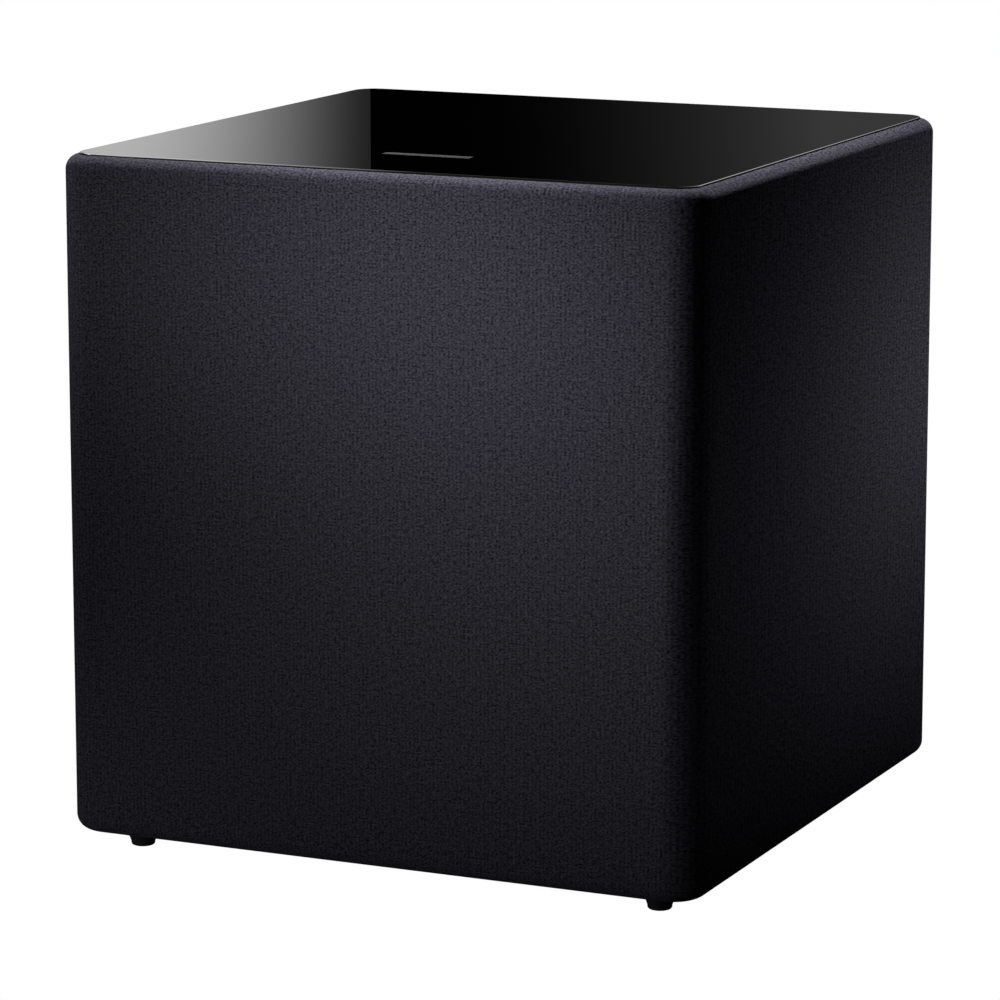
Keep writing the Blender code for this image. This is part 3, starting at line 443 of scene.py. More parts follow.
def cloth_sleeve():
    """One layer of cloth lofted round the body, open for the plate, then given its thickness."""
    outline = sleeve_outline()
    profile = sleeve_profile()
    around = [0.0]
    for (a, out), (b, _) in zip(outline, outline[1:] + outline[:1]):
        around.append(around[-1] + (b - a).length * (1 - SIDE_PULL * abs(out.x)))
    along = [0.0]
    for a, b in zip(profile, profile[1:]):
        along.append(along[-1] + math.dist(a, b))
    shape = bmesh.new()
    weave = shape.loops.layers.uv.new("weave")
    middle = Vector((BODY_MIDDLE.x, BODY_MIDDLE.y, 0))
    columns = [
        [shape.verts.new(middle + point - out * inset + Vector((0, 0, z))) for inset, z in profile]
        for point, out in outline
    ]
    for i, (point, out) in enumerate(outline):
        following = (i + 1) % len(outline)
        for j in range(len(profile) - 1):
            corners = ((i, j), (i + 1, j), (i + 1, j + 1), (i, j + 1))
            quad = [columns[i][j], columns[following][j], columns[following][j + 1], columns[i][j + 1]]
            centre = sum((vert.co for vert in quad), Vector()) / 4
            in_opening = SEAL_LOW.x < centre.x < SEAL_HIGH.x and SEAL_LOW.z < centre.z < SEAL_HIGH.z
            if in_opening and centre.y > middle.y and profile[j][0] == 0:
                continue
            face = shape.faces.new(quad)
            for loop, (u, v) in zip(face.loops, corners):
                loop[weave].uv = (around[u], along[v])
    bmesh.ops.recalc_face_normals(shape, faces=shape.faces)
    made = piece("cloth_cover", shape, CLOTH_LOOK, "cloth_sleeve", angle=60)
    if made.data.polygons[0].normal.z > 0:
        made.data.flip_normals()
    thick = made.modifiers.new("Thickness", "SOLIDIFY")
    thick.thickness = CLOTH
    thick.offset = -1
    thick.use_even_offset = True


# -------------------- top panel

PANEL_CORNER = 14.5 * MM
PANEL_ARRIS = 0.75 * MM
BAR_HALF = Vector((27 * MM, 4 * MM, 0))
BAR_FROM_EDGE = 72 * MM


def top_panel():
    """Gloss panel with a fine rounded edge, and a plain inlaid bar near its front edge."""
    shape = solid_box(PANEL_LOW, PANEL_HIGH, PANEL_CORNER, axis=2, segments=24)
    rim = [edge for edge in shape.edges if edge.calc_face_angle(0) > 1]
    bmesh.ops.bevel(shape, geom=rim, offset=PANEL_ARRIS, segments=6, profile=0.5, affect="EDGES")
    made = piece("gloss_top_panel", shape, LACQUER, "top_panel")
    for face in made.data.polygons:
        face.use_smooth = abs(face.normal.z) < 0.999
    bar_at = Vector((0, PANEL_LOW.y + BAR_FROM_EDGE, PANEL_HIGH.z))
    sunk = Vector((0, 0, 0.3 * MM))
    proud = Vector((0, 0, 0.04 * MM))
    bar = solid_box(bar_at - BAR_HALF - sunk, bar_at + BAR_HALF + proud, 1.5 * MM, axis=2)
    piece("panel_inlay", bar, INLAY, None)


# -------------------- hard pieces


def edges_along(shape, axis):
    """Edges of a box that run along one axis."""
    return [edge for edge in shape.edges if abs((edge.verts[1].co - edge.verts[0].co)[axis]) > MM / 10]


def solid_box(low, high, radius=0.0, axis=1, segments=6):
    """A box between two corners, with the four edges along one axis rounded."""
    low = Vector(low)
    high = Vector(high)
    shape = bmesh.new()
    bmesh.ops.create_cube(shape, size=1)
    bmesh.ops.scale(shape, vec=high - low, verts=shape.verts)
    bmesh.ops.translate(shape, vec=(low + high) / 2, verts=shape.verts)
    if radius:
        along = edges_along(shape, axis)
        bmesh.ops.bevel(shape, geom=along, offset=radius, segments=segments, profile=0.5, affect="EDGES")
    return shape


def turned(profile, at, steps=48, axis=1, ripple=None):
    """A profile of (radius, height) points, ending on the axis or closed, turned about Y or Z."""
    shape = bmesh.new()
    columns = []
    for step in range(steps):
        angle = math.tau * step / steps
        column = []
        for radius, height in profile:
            if ripple:
                radius = ripple(radius, height, angle)
            across = radius * math.cos(angle)
            beside = radius * math.sin(angle)
            point = (across, height, beside) if axis == 1 else (across, beside, height)
            column.append(shape.verts.new(Vector(at) + Vector(point)))
        columns.append(column)
    ring = profile[0][0] > 0 and profile[-1][0] > 0
    for column, following in zip(columns, columns[1:] + columns[:1]):
        for i in range(len(profile) if ring else len(profile) - 1):
            j = (i + 1) % len(profile)
            shape.faces.new((column[i], column[j], following[j], following[i]))
    bmesh.ops.remove_doubles(shape, verts=shape.verts, dist=MM / 1000)
    bmesh.ops.recalc_face_normals(shape, faces=shape.faces)
    return shape


BROAD = 4 * MM**2  # faces larger than this stay flat


def carve(made, cutters, added=(), edge=0.0, segments=2, angle=35):
    """Joins shapes to a piece, cuts others out of it and softens its edges."""
    tools = []
    for operation, shapes in (("UNION", added), ("DIFFERENCE", cutters)):
        for shape in shapes:
            tools.append(link(bpy.data.objects.new("tool", mesh_of("tool", shape))))
            modifier = made.modifiers.new(operation.title(), "BOOLEAN")
            modifier.operation = operation
            modifier.object = tools[-1]
    if edge:
        soften = made.modifiers.new("Soften", "BEVEL")
        soften.width = edge
        soften.segments = segments
        soften.angle_limit = math.radians(40)
    mesh = final_mesh(made)
    made.modifiers.clear()
    made.data = mesh
    mesh.shade_smooth()
    mesh.set_sharp_from_angle(angle=math.radians(angle))
    for face in mesh.polygons:
        face.use_smooth = face.area < BROAD
    for tool in tools:
        bpy.data.objects.remove(tool)


def middle(node):
    low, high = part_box(node)
    return (low + high) / 2


def at_face(place, out=0.0):
    """A point over a place of the rear plate, out from where its controls start."""
    return Vector((place.x, FACE_Y + out, place.z))


def plate_box(place, half, start, end, radius=0.0, **settings):
    """A box centred on a place of the plate, between two depths."""
    reach = Vector((half[0], 0, half[1]))
    return solid_box(at_face(place, start) - reach, at_face(place, end) + reach, radius, **settings)


def turn_about(shape, angle, axis, centre):
    bmesh.ops.rotate(shape, verts=shape.verts, cent=centre, matrix=Matrix.Rotation(angle, 3, axis))
    return shape


# -------------------- rear plate

FACE_Y = PLATE_HIGH.y + 0.3 * MM
PLATE_MIDDLE = (PLATE_LOW + PLATE_HIGH) / 2
VOLUME = middle("volume_knob")
CROSSOVER = middle("crossover_knob")
EQ_TRAVEL = 4 * MM
PHASE_TRAVEL = 5 * MM
EQ = middle("eq_switch")
PHASE = middle("phase_switch") + Vector((PHASE_TRAVEL / 2, 0, 0))
SPEAKER = middle("speaker_socket")
EXPANSION = middle("expansion_port")
INLET = middle("mains_inlet")
SOCKET = INLET - Vector((8.5 * MM, 0, 0))
ROCKER = INLET + Vector((14.5 * MM, 0, 0))
JACKS = (("line_jack_left", "left", WHITE_PLASTIC), ("line_jack_right", "right", RED_PLASTIC))
AMP_SCREWS = sorted(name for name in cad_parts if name.startswith("amp_screw_"))
KNOB_SWING = math.radians(150)
PLATE_CORNER = 8 * MM
INK_HEIGHT = 0.06 * MM
RULE_HEIGHTS = (7.5 * MM, -44 * MM)


def rear_plate():
    """Powder-coated plate with its openings."""
    through = (-6 * MM, 3 * MM)
    sheet = solid_box(PLATE_LOW, PLATE_HIGH, PLATE_CORNER, segments=14)
    made = piece("rear_plate", sheet, POWDER, "amp_plate")
    openings = [
        plate_box(EQ, (7.6 * MM, 2.5 * MM), *through, 0.8 * MM),
        plate_box(PHASE, (6.1 * MM, 2.5 * MM), *through, 0.8 * MM),
        plate_box(EXPANSION, (8.3 * MM, 6.8 * MM), *through),
        plate_box(SPEAKER, (17.3 * MM, 8.3 * MM), *through),
        plate_box(INLET, (24.3 * MM, 11.8 * MM), *through),
    ]
    rounds = [(VOLUME, 4.2 * MM), (CROSSOVER, 4.2 * MM)]
    rounds += [(middle(node), 5.4 * MM) for node, _, _ in JACKS]
    rounds += [(middle(node), 2.2 * MM) for node in AMP_SCREWS]
    for place, radius in rounds:
        hole = [(0, through[0]), (radius, through[0]), (radius, through[1]), (0, through[1])]
        openings.append(turned(hole, at_face(place), 32))
    carve(made, openings, edge=0.4 * MM, segments=3)


def add_bar(shape, centre, size, angle=0.0):
    """A printed bar on the plate, with its size across and up, turned about the plate's normal."""
    half = Vector((size[0] / 2, 0, size[1] / 2))
    low = Vector((centre.x, PLATE_HIGH.y - 0.02 * MM, centre.z)) - half
    high = Vector((centre.x, PLATE_HIGH.y + INK_HEIGHT, centre.z)) + half
    absorb(shape, mesh_of("bar", turn_about(solid_box(low, high), angle, "Y", centre)))


def add_number(shape, text, centre, height):
    """A printed number, read from behind the object."""
    data = bpy.data.curves.new("number", "FONT")
    data.body = text
    data.size = height
    data.extrude = 0.04 * MM
    data.align_x = "CENTER"
    data.align_y = "CENTER"
    data.resolution_u = 3
    made = link(bpy.data.objects.new("number", data))
    mesh = final_mesh(made)
    reading = Matrix(((-1, 0, 0), (0, 0, 1), (0, 1, 0))).to_4x4()
    mesh.transform(Matrix.Translation((centre.x, PLATE_HIGH.y + INK_HEIGHT / 2, centre.z)) @ reading)
    absorb(shape, mesh)
    bpy.data.objects.remove(made)


def dial_place(centre, radius, share):
    """A place round a knob, from share 0 to 1 of its swing, clockwise from behind."""
    angle = -KNOB_SWING + 2 * KNOB_SWING * share
    return centre + Vector((-math.sin(angle), 0, math.cos(angle))) * radius, angle


def plate_print():
    """White print: ticks and numbers round the knobs, switch stops, lines between the groups."""
    shape = bmesh.new()
    for knob, numbers in ((VOLUME, range(0, 11)), (CROSSOVER, range(40, 141, 10))):
        last = len(numbers) - 1
        for index, number in enumerate(numbers):
            long = index % 2 == 0
            place, angle = dial_place(knob, (14.4 if long else 14.0) * MM, index / last)
            add_bar(shape, place, (0.5 * MM, (2.4 if long else 1.5) * MM), -angle)
            if long:
                add_number(shape, str(number), dial_place(knob, 19 * MM, index / last)[0], 3.6 * MM)
    for offset in (-EQ_TRAVEL, 0, EQ_TRAVEL):
        add_bar(shape, EQ + Vector((offset, 0, 4.6 * MM)), (0.5 * MM, 1.6 * MM))
    for offset, number in ((-PHASE_TRAVEL / 2, "180"), (PHASE_TRAVEL / 2, "0")):
        add_bar(shape, PHASE + Vector((offset, 0, 4.6 * MM)), (0.5 * MM, 1.6 * MM))
        add_number(shape, number, PHASE + Vector((offset * 1.9, 0, 8 * MM)), 3.2 * MM)
    for height in RULE_HEIGHTS:
        add_bar(shape, PLATE_MIDDLE + Vector((0, 0, height)), (196 * MM, 0.4 * MM))
    made = piece("plate_print", shape, INK, None)


def plate_screws():
    """Pan-head screws with cross recesses, each turned a little differently."""
    for index, node in enumerate(AMP_SCREWS):
        low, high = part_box(node)
        radius = (high.x - low.x) / 2
        height = high.y - FACE_Y
        tip = low.y - FACE_Y
        shank = 1.7 * MM
        at = at_face(middle(node))
        head = arc((0, -3 * MM), height + 3 * MM, 90, 90 - math.degrees(0.55), 6)
        profile = [*head, (radius, height * 0.5), (radius, 0), (shank, 0), (shank, tip), (0, tip)]
        made = piece(f"plate_screw_{index + 1}", turned(profile, at, 32), STEEL, node)
        recess = []
        for turn in (0.2 + 0.7 * index, 0.2 + 0.7 * index + math.pi / 2):
            cross = plate_box(at, (0.45 * MM, 2.1 * MM), height - 1.3 * MM, height + MM)
            recess.append(turn_about(cross, turn, "Y", at))
        carve(made, recess, edge=0.08 * MM, segments=1)


def control_knob(node, name, body):
    """Fluted knob with a skirt, a dished face and a white pointer."""
    low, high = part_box(node)
    radius = (high.x - low.x) / 2
    height = high.y - FACE_Y
    shaft = 3 * MM
    at = at_face(middle(node))
    face = height - 0.5 * MM
    profile = [
        (0, face),
        (radius - 3.4 * MM, face),
        (radius - 2.6 * MM, height),
        (radius - 2.0 * MM, height),
        (radius - 1.4 * MM, height - 0.4 * MM),
        (radius - 1.2 * MM, height - 1.1 * MM),
        (radius - 1.0 * MM, 6 * MM),
        (radius - 0.8 * MM, 2.8 * MM),
        (radius - 0.2 * MM, 2.2 * MM),
        (radius, 1.9 * MM),
        (radius, 0.3 * MM),
        (radius - 0.3 * MM, 0),
        (shaft, 0),
        (shaft, low.y - FACE_Y),
        (0, low.y - FACE_Y),
    ]
    flutes = 30

    def fluted(r, h, angle):
        on_flank = 2.4 * MM < h < height - 0.9 * MM and r > radius / 2
        return r - (0.32 * MM * (0.5 - 0.5 * math.cos(flutes * angle)) ** 2 if on_flank else 0)

    made = piece(name, turned(profile, at, flutes * 8, ripple=fluted), PLASTIC, node, body, angle=50)
    line_at = at + Vector((0, 0, 5.6 * MM))
    line = plate_box(line_at, (0.45 * MM, 2.6 * MM), face - 0.2 * MM, face + 0.12 * MM)
    pointer = piece(f"{name}_pointer", line, INK, None, body)


def line_jack(node, side, ring_look):
    """Phono socket: hexagonal nut, washer, threaded barrel and a coloured insulator."""
    low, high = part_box(node)
    at = at_face(middle(node))
    end = high.y - FACE_Y
    flange = (high.x - low.x) / 2
    barrel = 4.15 * MM
    bore = 3.5 * MM
    back = low.y - FACE_Y
    pitch = 0.6 * MM
    threads = [(barrel - (0.28 * MM if i % 2 else 0), 2.4 * MM + i * pitch / 2) for i in range(27)]
    profile = [
        (5 * MM, back),
        (5 * MM, 0),
        (flange, 0),
        (flange, 0.5 * MM),
        (flange - 0.3 * MM, 0.7 * MM),
        (flange - 0.3 * MM, 1.9 * MM),
        (flange - 0.9 * MM, 2.3 * MM),
        *threads,
        (barrel - 0.3 * MM, end),
        (bore, end),
        (bore - 0.1 * MM, 3 * MM),
        (1.7 * MM, 3 * MM),
        (1.7 * MM, back),
    ]

    def hexagonal(r, h, angle):
        if not 0.6 * MM < h < 2.35 * MM or r < barrel + MM:
            return r
        corner = (angle + math.pi / 6) % (math.pi / 3) - math.pi / 6
        return min(r, (flange - 0.9 * MM) / math.cos(corner))

    shape = turned(profile, at, 72, ripple=hexagonal)
    made = piece(f"line_jack_{side}_barrel", shape, NICKEL, node, angle=30)
    contact = 1.55 * MM
    ring = [
        (bore - 0.15 * MM, 3.1 * MM),
        (bore - 0.15 * MM, end - 0.5 * MM),
        (bore - 0.4 * MM, end - 0.3 * MM),
        (contact + 0.3 * MM, end - 0.3 * MM),
        (contact, end - 0.6 * MM),
        (contact, 3.1 * MM),
    ]
    insulator = piece(f"line_jack_{side}_insulator", turned(ring, at, 48), ring_look, None)


def blades(name, places, half, start, end, look=NICKEL):
    """Straight contacts of one socket, as one piece."""
    shape = bmesh.new()
    for place in places:
        absorb(shape, mesh_of("blade", plate_box(place, half, start, end)))
    made = piece(name, shape, look, None)
    carve(made, [], edge=0.25 * MM)


def speaker_socket():
    """Four-way socket: a rounded rim, a keyed well and four pins."""
    low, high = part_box("speaker_socket")
    back = low.y - FACE_Y
    face = high.y - FACE_Y
    shell = plate_box(SPEAKER, (17 * MM, 8 * MM), back, face - 0.3 * MM)
    made = piece("speaker_socket_shell", shell, PLASTIC, "speaker_socket")
    rim = plate_box(SPEAKER, (19 * MM, 10 * MM), 0, face, 2 * MM)
    ways = [SPEAKER + Vector((x * MM, 0, 0)) for x in (-11.1, -3.7, 3.7, 11.1)]
    above = Vector((0, 0, 5.6 * MM))
    keys = [plate_box(way + above, (1.6 * MM, 0.8 * MM), back + 4 * MM, face + MM) for way in ways]
    well = plate_box(SPEAKER, (15 * MM, 5 * MM), back + 2.5 * MM, face + MM, 0.6 * MM)
    carve(made, [well, *keys], [rim], edge=0.25 * MM)
    places = [way - Vector((0, 0, 0.5 * MM)) for way in ways]
    blades("speaker_socket_pins", places, (0.6 * MM, 0.9 * MM), back + 2 * MM, back + 10 * MM)


def expansion_port():
    """Port for an accessory receiver: a stepped well with eight spring contacts."""
    low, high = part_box("expansion_port")
    back = low.y - FACE_Y
    face = high.y - FACE_Y
    shell = plate_box(EXPANSION, (8 * MM, 6.5 * MM), back, face - 0.2 * MM)
    made = piece("expansion_port_shell", shell, PLASTIC, "expansion_port")
    rim = plate_box(EXPANSION, (9.5 * MM, 8 * MM), 0, face, MM)
    well = plate_box(EXPANSION, (6.2 * MM, 4 * MM), back + 2 * MM, face + MM)
    below = EXPANSION - Vector((0, 0, 4.6 * MM))
    step = plate_box(below, (2.6 * MM, 0.9 * MM), back + 3 * MM, face + MM)
    carve(made, [well, step], [rim], edge=0.2 * MM)
    places = [EXPANSION + Vector(((i - 3.5) * 1.15 * MM, 0, 2.6 * MM)) for i in range(8)]
    half = (0.25 * MM, 0.3 * MM)
    blades("expansion_port_contacts", places, half, back + 1.8 * MM, face - 2.5 * MM, BRASS)


def mains_inlet():
    """Appliance inlet with chamfered well and three blades, and the well of the power rocker."""
    low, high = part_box("mains_inlet")
    back = low.y - FACE_Y
    face = high.y - FACE_Y
    shell = plate_box(INLET, (24 * MM, 11.5 * MM), back, face - 0.4 * MM)
    made = piece("mains_inlet_shell", shell, PLASTIC, "mains_inlet")
    rim = plate_box(INLET, (27 * MM, 14 * MM), 0, face, 2.5 * MM, segments=8)
    well = plate_box(SOCKET, (11.8 * MM, 8.3 * MM), face - 16.5 * MM, face + MM)
    upper = [edge for edge in edges_along(well, 1) if all(vert.co.z > SOCKET.z for vert in edge.verts)]
    bmesh.ops.bevel(well, geom=upper, offset=4.2 * MM, segments=1, affect="EDGES")
    switch_well = plate_box(ROCKER, (6.6 * MM, 9.4 * MM), face - 11 * MM, face + MM, 0.5 * MM)
    carve(made, [well, switch_well], [rim], edge=0.35 * MM, segments=3)
    places = [SOCKET + Vector((x * MM, 0, z * MM)) for x, z in ((-7, -1), (0, 3.2), (7, -1))]
    blades("mains_inlet_blades", places, (1 * MM, 2 * MM), face - 17 * MM, face - 2.5 * MM)


def power_rocker():
    """Rocker with a hollowed face, printed with a line and a ring, at rest on its lower half."""
    tilt = math.radians(9)
    pivot = at_face(ROCKER)
    half = Vector((6.1 * MM, 0, 7.75 * MM))
    top = 4.05 * MM
    foot = -3.45 * MM
    dip = 0.9 * MM
    edge = 0.7 * MM
    rows = 12
    heights = [half.z * (2 * i / rows - 1) for i in range(rows + 1)]
    section = [(foot, -half.z), (top - edge, -half.z)]
    section += [(top - dip * (1 - (z / half.z) ** 2), z * (1 - edge / half.z / 2)) for z in heights]
    section += [(top - edge, half.z), (foot, half.z)]
    shape = bmesh.new()
    sides = [[shape.verts.new(pivot + Vector((x, y, z))) for y, z in section] for x in (-half.x, half.x)]
    shape.faces.new(sides[0])
    shape.faces.new(sides[1])
    for i in range(len(section)):
        j = (i + 1) % len(section)
        shape.faces.new((sides[0][i], sides[0][j], sides[1][j], sides[1][i]))
    bmesh.ops.recalc_face_normals(shape, faces=shape.faces)
    turn_about(shape, tilt, "X", pivot)
    made = piece("power_rocker_cap", shape, PLASTIC, "rocker_switch", "power_rocker", angle=30)
    carve(made, [], edge=0.3 * MM)
    marks = bmesh.new()
    ink = 0.05 * MM
    mark_at = 4.2 * MM
    bar_low = pivot + Vector((-0.3 * MM, 0, mark_at - 1.3 * MM))
    bar_high = pivot + Vector((0.3 * MM, ink, mark_at + 1.3 * MM))
    ring_profile = [(1.3 * MM, 0), (1.3 * MM, ink), (0.85 * MM, ink), (0.85 * MM, 0)]
    ring = turned(ring_profile, pivot - Vector((0, 0, mark_at)), 32)
    for mark, z in ((solid_box(bar_low, bar_high), mark_at), (ring, -mark_at)):
        rise = top - dip * (1 - (z / half.z) ** 2)
        slope = math.atan(2 * dip * z / half.z**2)
        bmesh.ops.translate(mark, vec=(0, rise, 0), verts=mark.verts)
        turn_about(mark, -slope, "X", pivot + Vector((0, rise, z)))
        absorb(marks, mesh_of("mark", mark))
    turn_about(marks, tilt, "X", pivot)
    printed = piece("power_rocker_marks", marks, INK, None, "power_rocker")


def slide_lever(node, name, body):
    """Lever of a slide switch, with ridges for the finger."""
    low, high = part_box(node)
    made = piece(name, solid_box(low, high), PLASTIC, node, body)
    grooves = []
    for step in (-1, 0, 1):
        x = middle(node).x + step * 1.4 * MM
        start = (x - 0.25 * MM, high.y - 0.5 * MM, low.z - MM)
        grooves.append(solid_box(start, (x + 0.25 * MM, high.y + MM, high.z + MM)))
    carve(made, grooves, edge=0.15 * MM)


def status_lamp():
    """Small lens that shows whether the amplifier is on."""
    at = Vector((PLATE_MIDDLE.x, PLATE_HIGH.y, PLATE_MIDDLE.z + 105 * MM))
    bezel = [(3 * MM, 0), (3 * MM, 0.5 * MM), (2.6 * MM, 0.8 * MM), (1.7 * MM, 0.8 * MM), (1.6 * MM, 0)]
    piece("status_lamp_bezel", turned(bezel, at, 48), PLASTIC, None)
    lens = [*arc((0, -0.4 * MM), 1.5 * MM, 90, 15, 8), (1.45 * MM, 0), (0, 0)]
    piece("status_lamp_lens", turned(lens, at, 48), WHITE_PLASTIC, None)


def rear_controls():
    rear_plate()
    plate_print()
    plate_screws()
    control_knob("volume_knob", "volume_knob_cap", "volume_control")
    control_knob("crossover_knob", "crossover_knob_cap", "crossover_control")
    for node, side, look in JACKS:
        line_jack(node, side, look)
    speaker_socket()
    expansion_port()
    mains_inlet()
    power_rocker()
    slide_lever("eq_switch", "eq_lever_cap", "eq_lever")
    slide_lever("phase_switch", "phase_lever_cap", "phase_lever")
    status_lamp()


# -------------------- feet


def feet():
    """Rubber feet: flared above, rounded at the sole, with a sunk screw underneath."""
    sole = 5.4 * MM
    edge = 1.6 * MM
    well = 4.5 * MM
    head = [(0, 4.6), (2.9, 4.6), (2.9, 3.4), (2.3, 2.8), (0, 2.6)]
    slot_half = Vector((2.2 * MM, 0.35 * MM, 0))
    for node in sorted(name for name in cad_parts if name.startswith("foot_")):
        low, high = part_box(node)
        at = middle(node)
        at.z = 0
        wide = (high.x - low.x) / 2
        profile = [
            (0, high.z),
            (wide, high.z),
            (wide, 8 * MM),
            (wide - 0.4 * MM, 6.4 * MM),
            (wide - 1.1 * MM, 4.2 * MM),
            *arc((sole, edge), edge, 15, -90, 8),
            (3.6 * MM, 0),
            (3.3 * MM, 0.3 * MM),
            (3.3 * MM, well),
            (0, well),
        ]
        made = piece(f"rubber_{node}", turned(profile, at, 64, axis=2), RUBBER, node, angle=40)
        shape = turned([(radius * MM, height * MM) for radius, height in head], at, 32, axis=2)
        screw = piece(f"{node}_screw", shape, STEEL, None)
        slot_low = at - slot_half + Vector((0, 0, 2 * MM))
        slot_high = at + slot_half + Vector((0, 0, 3.4 * MM))
        carve(screw, [solid_box(slot_low, slot_high)], edge=0.08 * MM, segments=1)


# -------------------- driver

DRIVER_AT = Vector((0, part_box("driver_basket")[0].y, middle("driver_basket").z))
COIL_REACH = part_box("voice_coil")[1].x
CONE_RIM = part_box("cone")[1].x
CONE_LIP = CONE_RIM - 6 * MM
CAP_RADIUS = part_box("dust_cap")[1].x
SPIDER_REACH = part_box("spider")[1].x
SPIDER_SEAT = 57.5 * MM


def cone():
    """Pressed paper cone with raised rings."""
    rim = 1.3 * MM
    wall = 1.5 * MM
    neck = COIL_REACH + 0.3 * MM
    neck_depth = 50 * MM
    steps = 96
    front = []
    for i in range(steps + 1):
        share = i / steps
        radius = neck + (CONE_LIP - neck) * share
        raised = 0.45 * MM * max(0, math.cos(math.tau * 4 * share)) ** 6 if 0.2 < share < 0.98 else 0
        front.append((radius, neck_depth - (neck_depth - rim) * share - raised))
    back = [(radius, depth + wall) for radius, depth in (front[0], front[-1])]
    profile = [*front, (CONE_RIM, rim), (CONE_RIM, rim + wall), back[1], back[0]]
    made = piece("pressed_cone", turned(profile, DRIVER_AT, 96), PAPER, "cone", "driver_moving")


def dust_cap():
    """Domed cap over the voice coil."""
    low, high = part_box("dust_cap")
    rise = high.y - low.y - 1.2 * MM
    sphere = (CAP_RADIUS**2 + rise**2) / (2 * rise)
    spread = math.degrees(math.asin(CAP_RADIUS / sphere))
    centre = (0, low.y - DRIVER_AT.y + sphere)
    outside = arc(centre, sphere, 270, 270 + spread, 24)
    inside = arc(centre, sphere - MM, 270 + spread, 270, 24)
    profile = [(0, outside[0][1]), *outside[1:], *inside[:-1], (0, inside[-1][1])]
    made = piece("domed_dust_cap", turned(profile, DRIVER_AT, 96), PAPER, "dust_cap", "driver_moving")


def stretched_ring(name, profile, look, node):
    """A ring in sectors, reaching from the cone out to the frame."""
    sectors = 24
    steps = 5
    for sector in range(sectors):
        shape = bmesh.new()
        columns = []
        for step in range(steps + 1):
            angle = math.tau * (sector + step / steps) / sectors
            out = Vector((math.cos(angle), 0, math.sin(angle)))
            points = [DRIVER_AT + out * radius + Vector((0, height, 0)) for radius, height in profile]
            columns.append([shape.verts.new(point) for point in points])
        for column, following in zip(columns, columns[1:]):
            for i in range(len(profile)):
                j = (i + 1) % len(profile)
                shape.faces.new((column[i], column[j], following[j], following[i]))
        shape.faces.new(columns[0])
        shape.faces.new(columns[-1])
        bmesh.ops.recalc_face_normals(shape, faces=shape.faces)
        made = piece(f"{name}_{sector + 1}", shape, look, node, None)
        angle = math.tau * (sector + 0.5) / sectors
        out = Vector((math.cos(angle), 0, math.sin(angle)))
        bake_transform(made)


def surround():
    """Half-roll of rubber between the cone's rim and the flange."""
    thickness = 0.9 * MM
    crest = 10 * MM
    lip = 1 * MM
    seat = -0.3 * MM
    rim = 141.5 * MM
    foot = 112.5 * MM
    centre = ((CONE_RIM + 136.5 * MM) / 2, seat - thickness)
    profile = [
        (rim, centre[1]),
        *arc(centre, crest, 0, -180, 24),
        (foot, lip - thickness),
        (foot, lip),
        (CONE_RIM + 0.7 * MM, lip),
        *arc(centre, crest - thickness, -180, 0, 24),
        (136.2 * MM, seat),
        (rim, seat),
    ]
    stretched_ring("surround_sector", profile, RUBBER, "surround")


def spider():
    """Corrugated cloth that centres the voice coil."""
    thickness = 0.8 * MM
    inner = COIL_REACH + 0.9 * MM
    first = 30 * MM
    flat = 85 * MM
    seat = SPIDER_SEAT + 1.4 * MM
    steps = 64
    front = [(inner, SPIDER_SEAT)]
    for i in range(steps + 1):
        share = i / steps
        wave = -1.4 * MM * math.cos(math.tau * 4 * share)
        front.append((first + (flat - first) * share, SPIDER_SEAT + wave))
    front += [(flat + 2 * MM, seat), (SPIDER_REACH, seat)]
    back = [(radius, depth + thickness) for radius, depth in reversed(front)]
    stretched_ring("spider_sector", front + back, SPIDER, "spider")


def tinsel_leads():
    """Braided leads, run from the cone out to the terminal on the frame."""
    thick = 0.9 * MM
    # Shares of the span outwards and of the depth backwards, from the cone into the terminal
    route = ((0, -0.17), (0.1836, 0.4), (0.4896, 0.97), (0.7956, 0.9), (1.02, 0.97))
    centre = DRIVER_AT.z
    for side in ("left", "right"):
        low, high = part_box(f"tinsel_lead_{side}")
        start, end = (high, low) if side == "left" else (low, high)
        depth = high.y - low.y - 2 * thick
        data = bpy.data.curves.new("lead", "CURVE")
        data.dimensions = "3D"
        data.bevel_depth = thick
        data.bevel_resolution = 3
        spline = data.splines.new("BEZIER")
        spline.bezier_points.add(len(route) - 1)
        for point, (out, back) in zip(spline.bezier_points, route):
            x = start.x + (end.x - start.x) * out
            point.co = (x, low.y + thick + depth * back, centre)
            point.handle_left_type = "AUTO"
            point.handle_right_type = "AUTO"
        drawn = link(bpy.data.objects.new("lead", data))
        shape = bmesh.new()
        absorb(shape, final_mesh(drawn))
        bpy.data.objects.remove(drawn)
        made = piece(f"braided_lead_{side}", shape, COPPER, f"tinsel_lead_{side}", None, angle=180)
        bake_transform(made)


def driver():
    cone()
    dust_cap()
    surround()
    spider()
    tinsel_leads()


# -------------------- studio


# White for diffuse rays, and the brightest that reflections get from each part of the world
AMBIENT = 0.0032
LEFT_GLOW = (0.024, 0.864)
RIGHT_GLOW = 0.072
OVERHEAD_GLOW = 6.4
WINDOW_GLOW = 2.4
SHARP_EDGE = -1.6  # heading in degrees at which the left glow ends

LOW_FRONT = (-0.477, -1.319, 0.332)
SIDE_MIDDLE = (0.2, 0.2, 0.27)
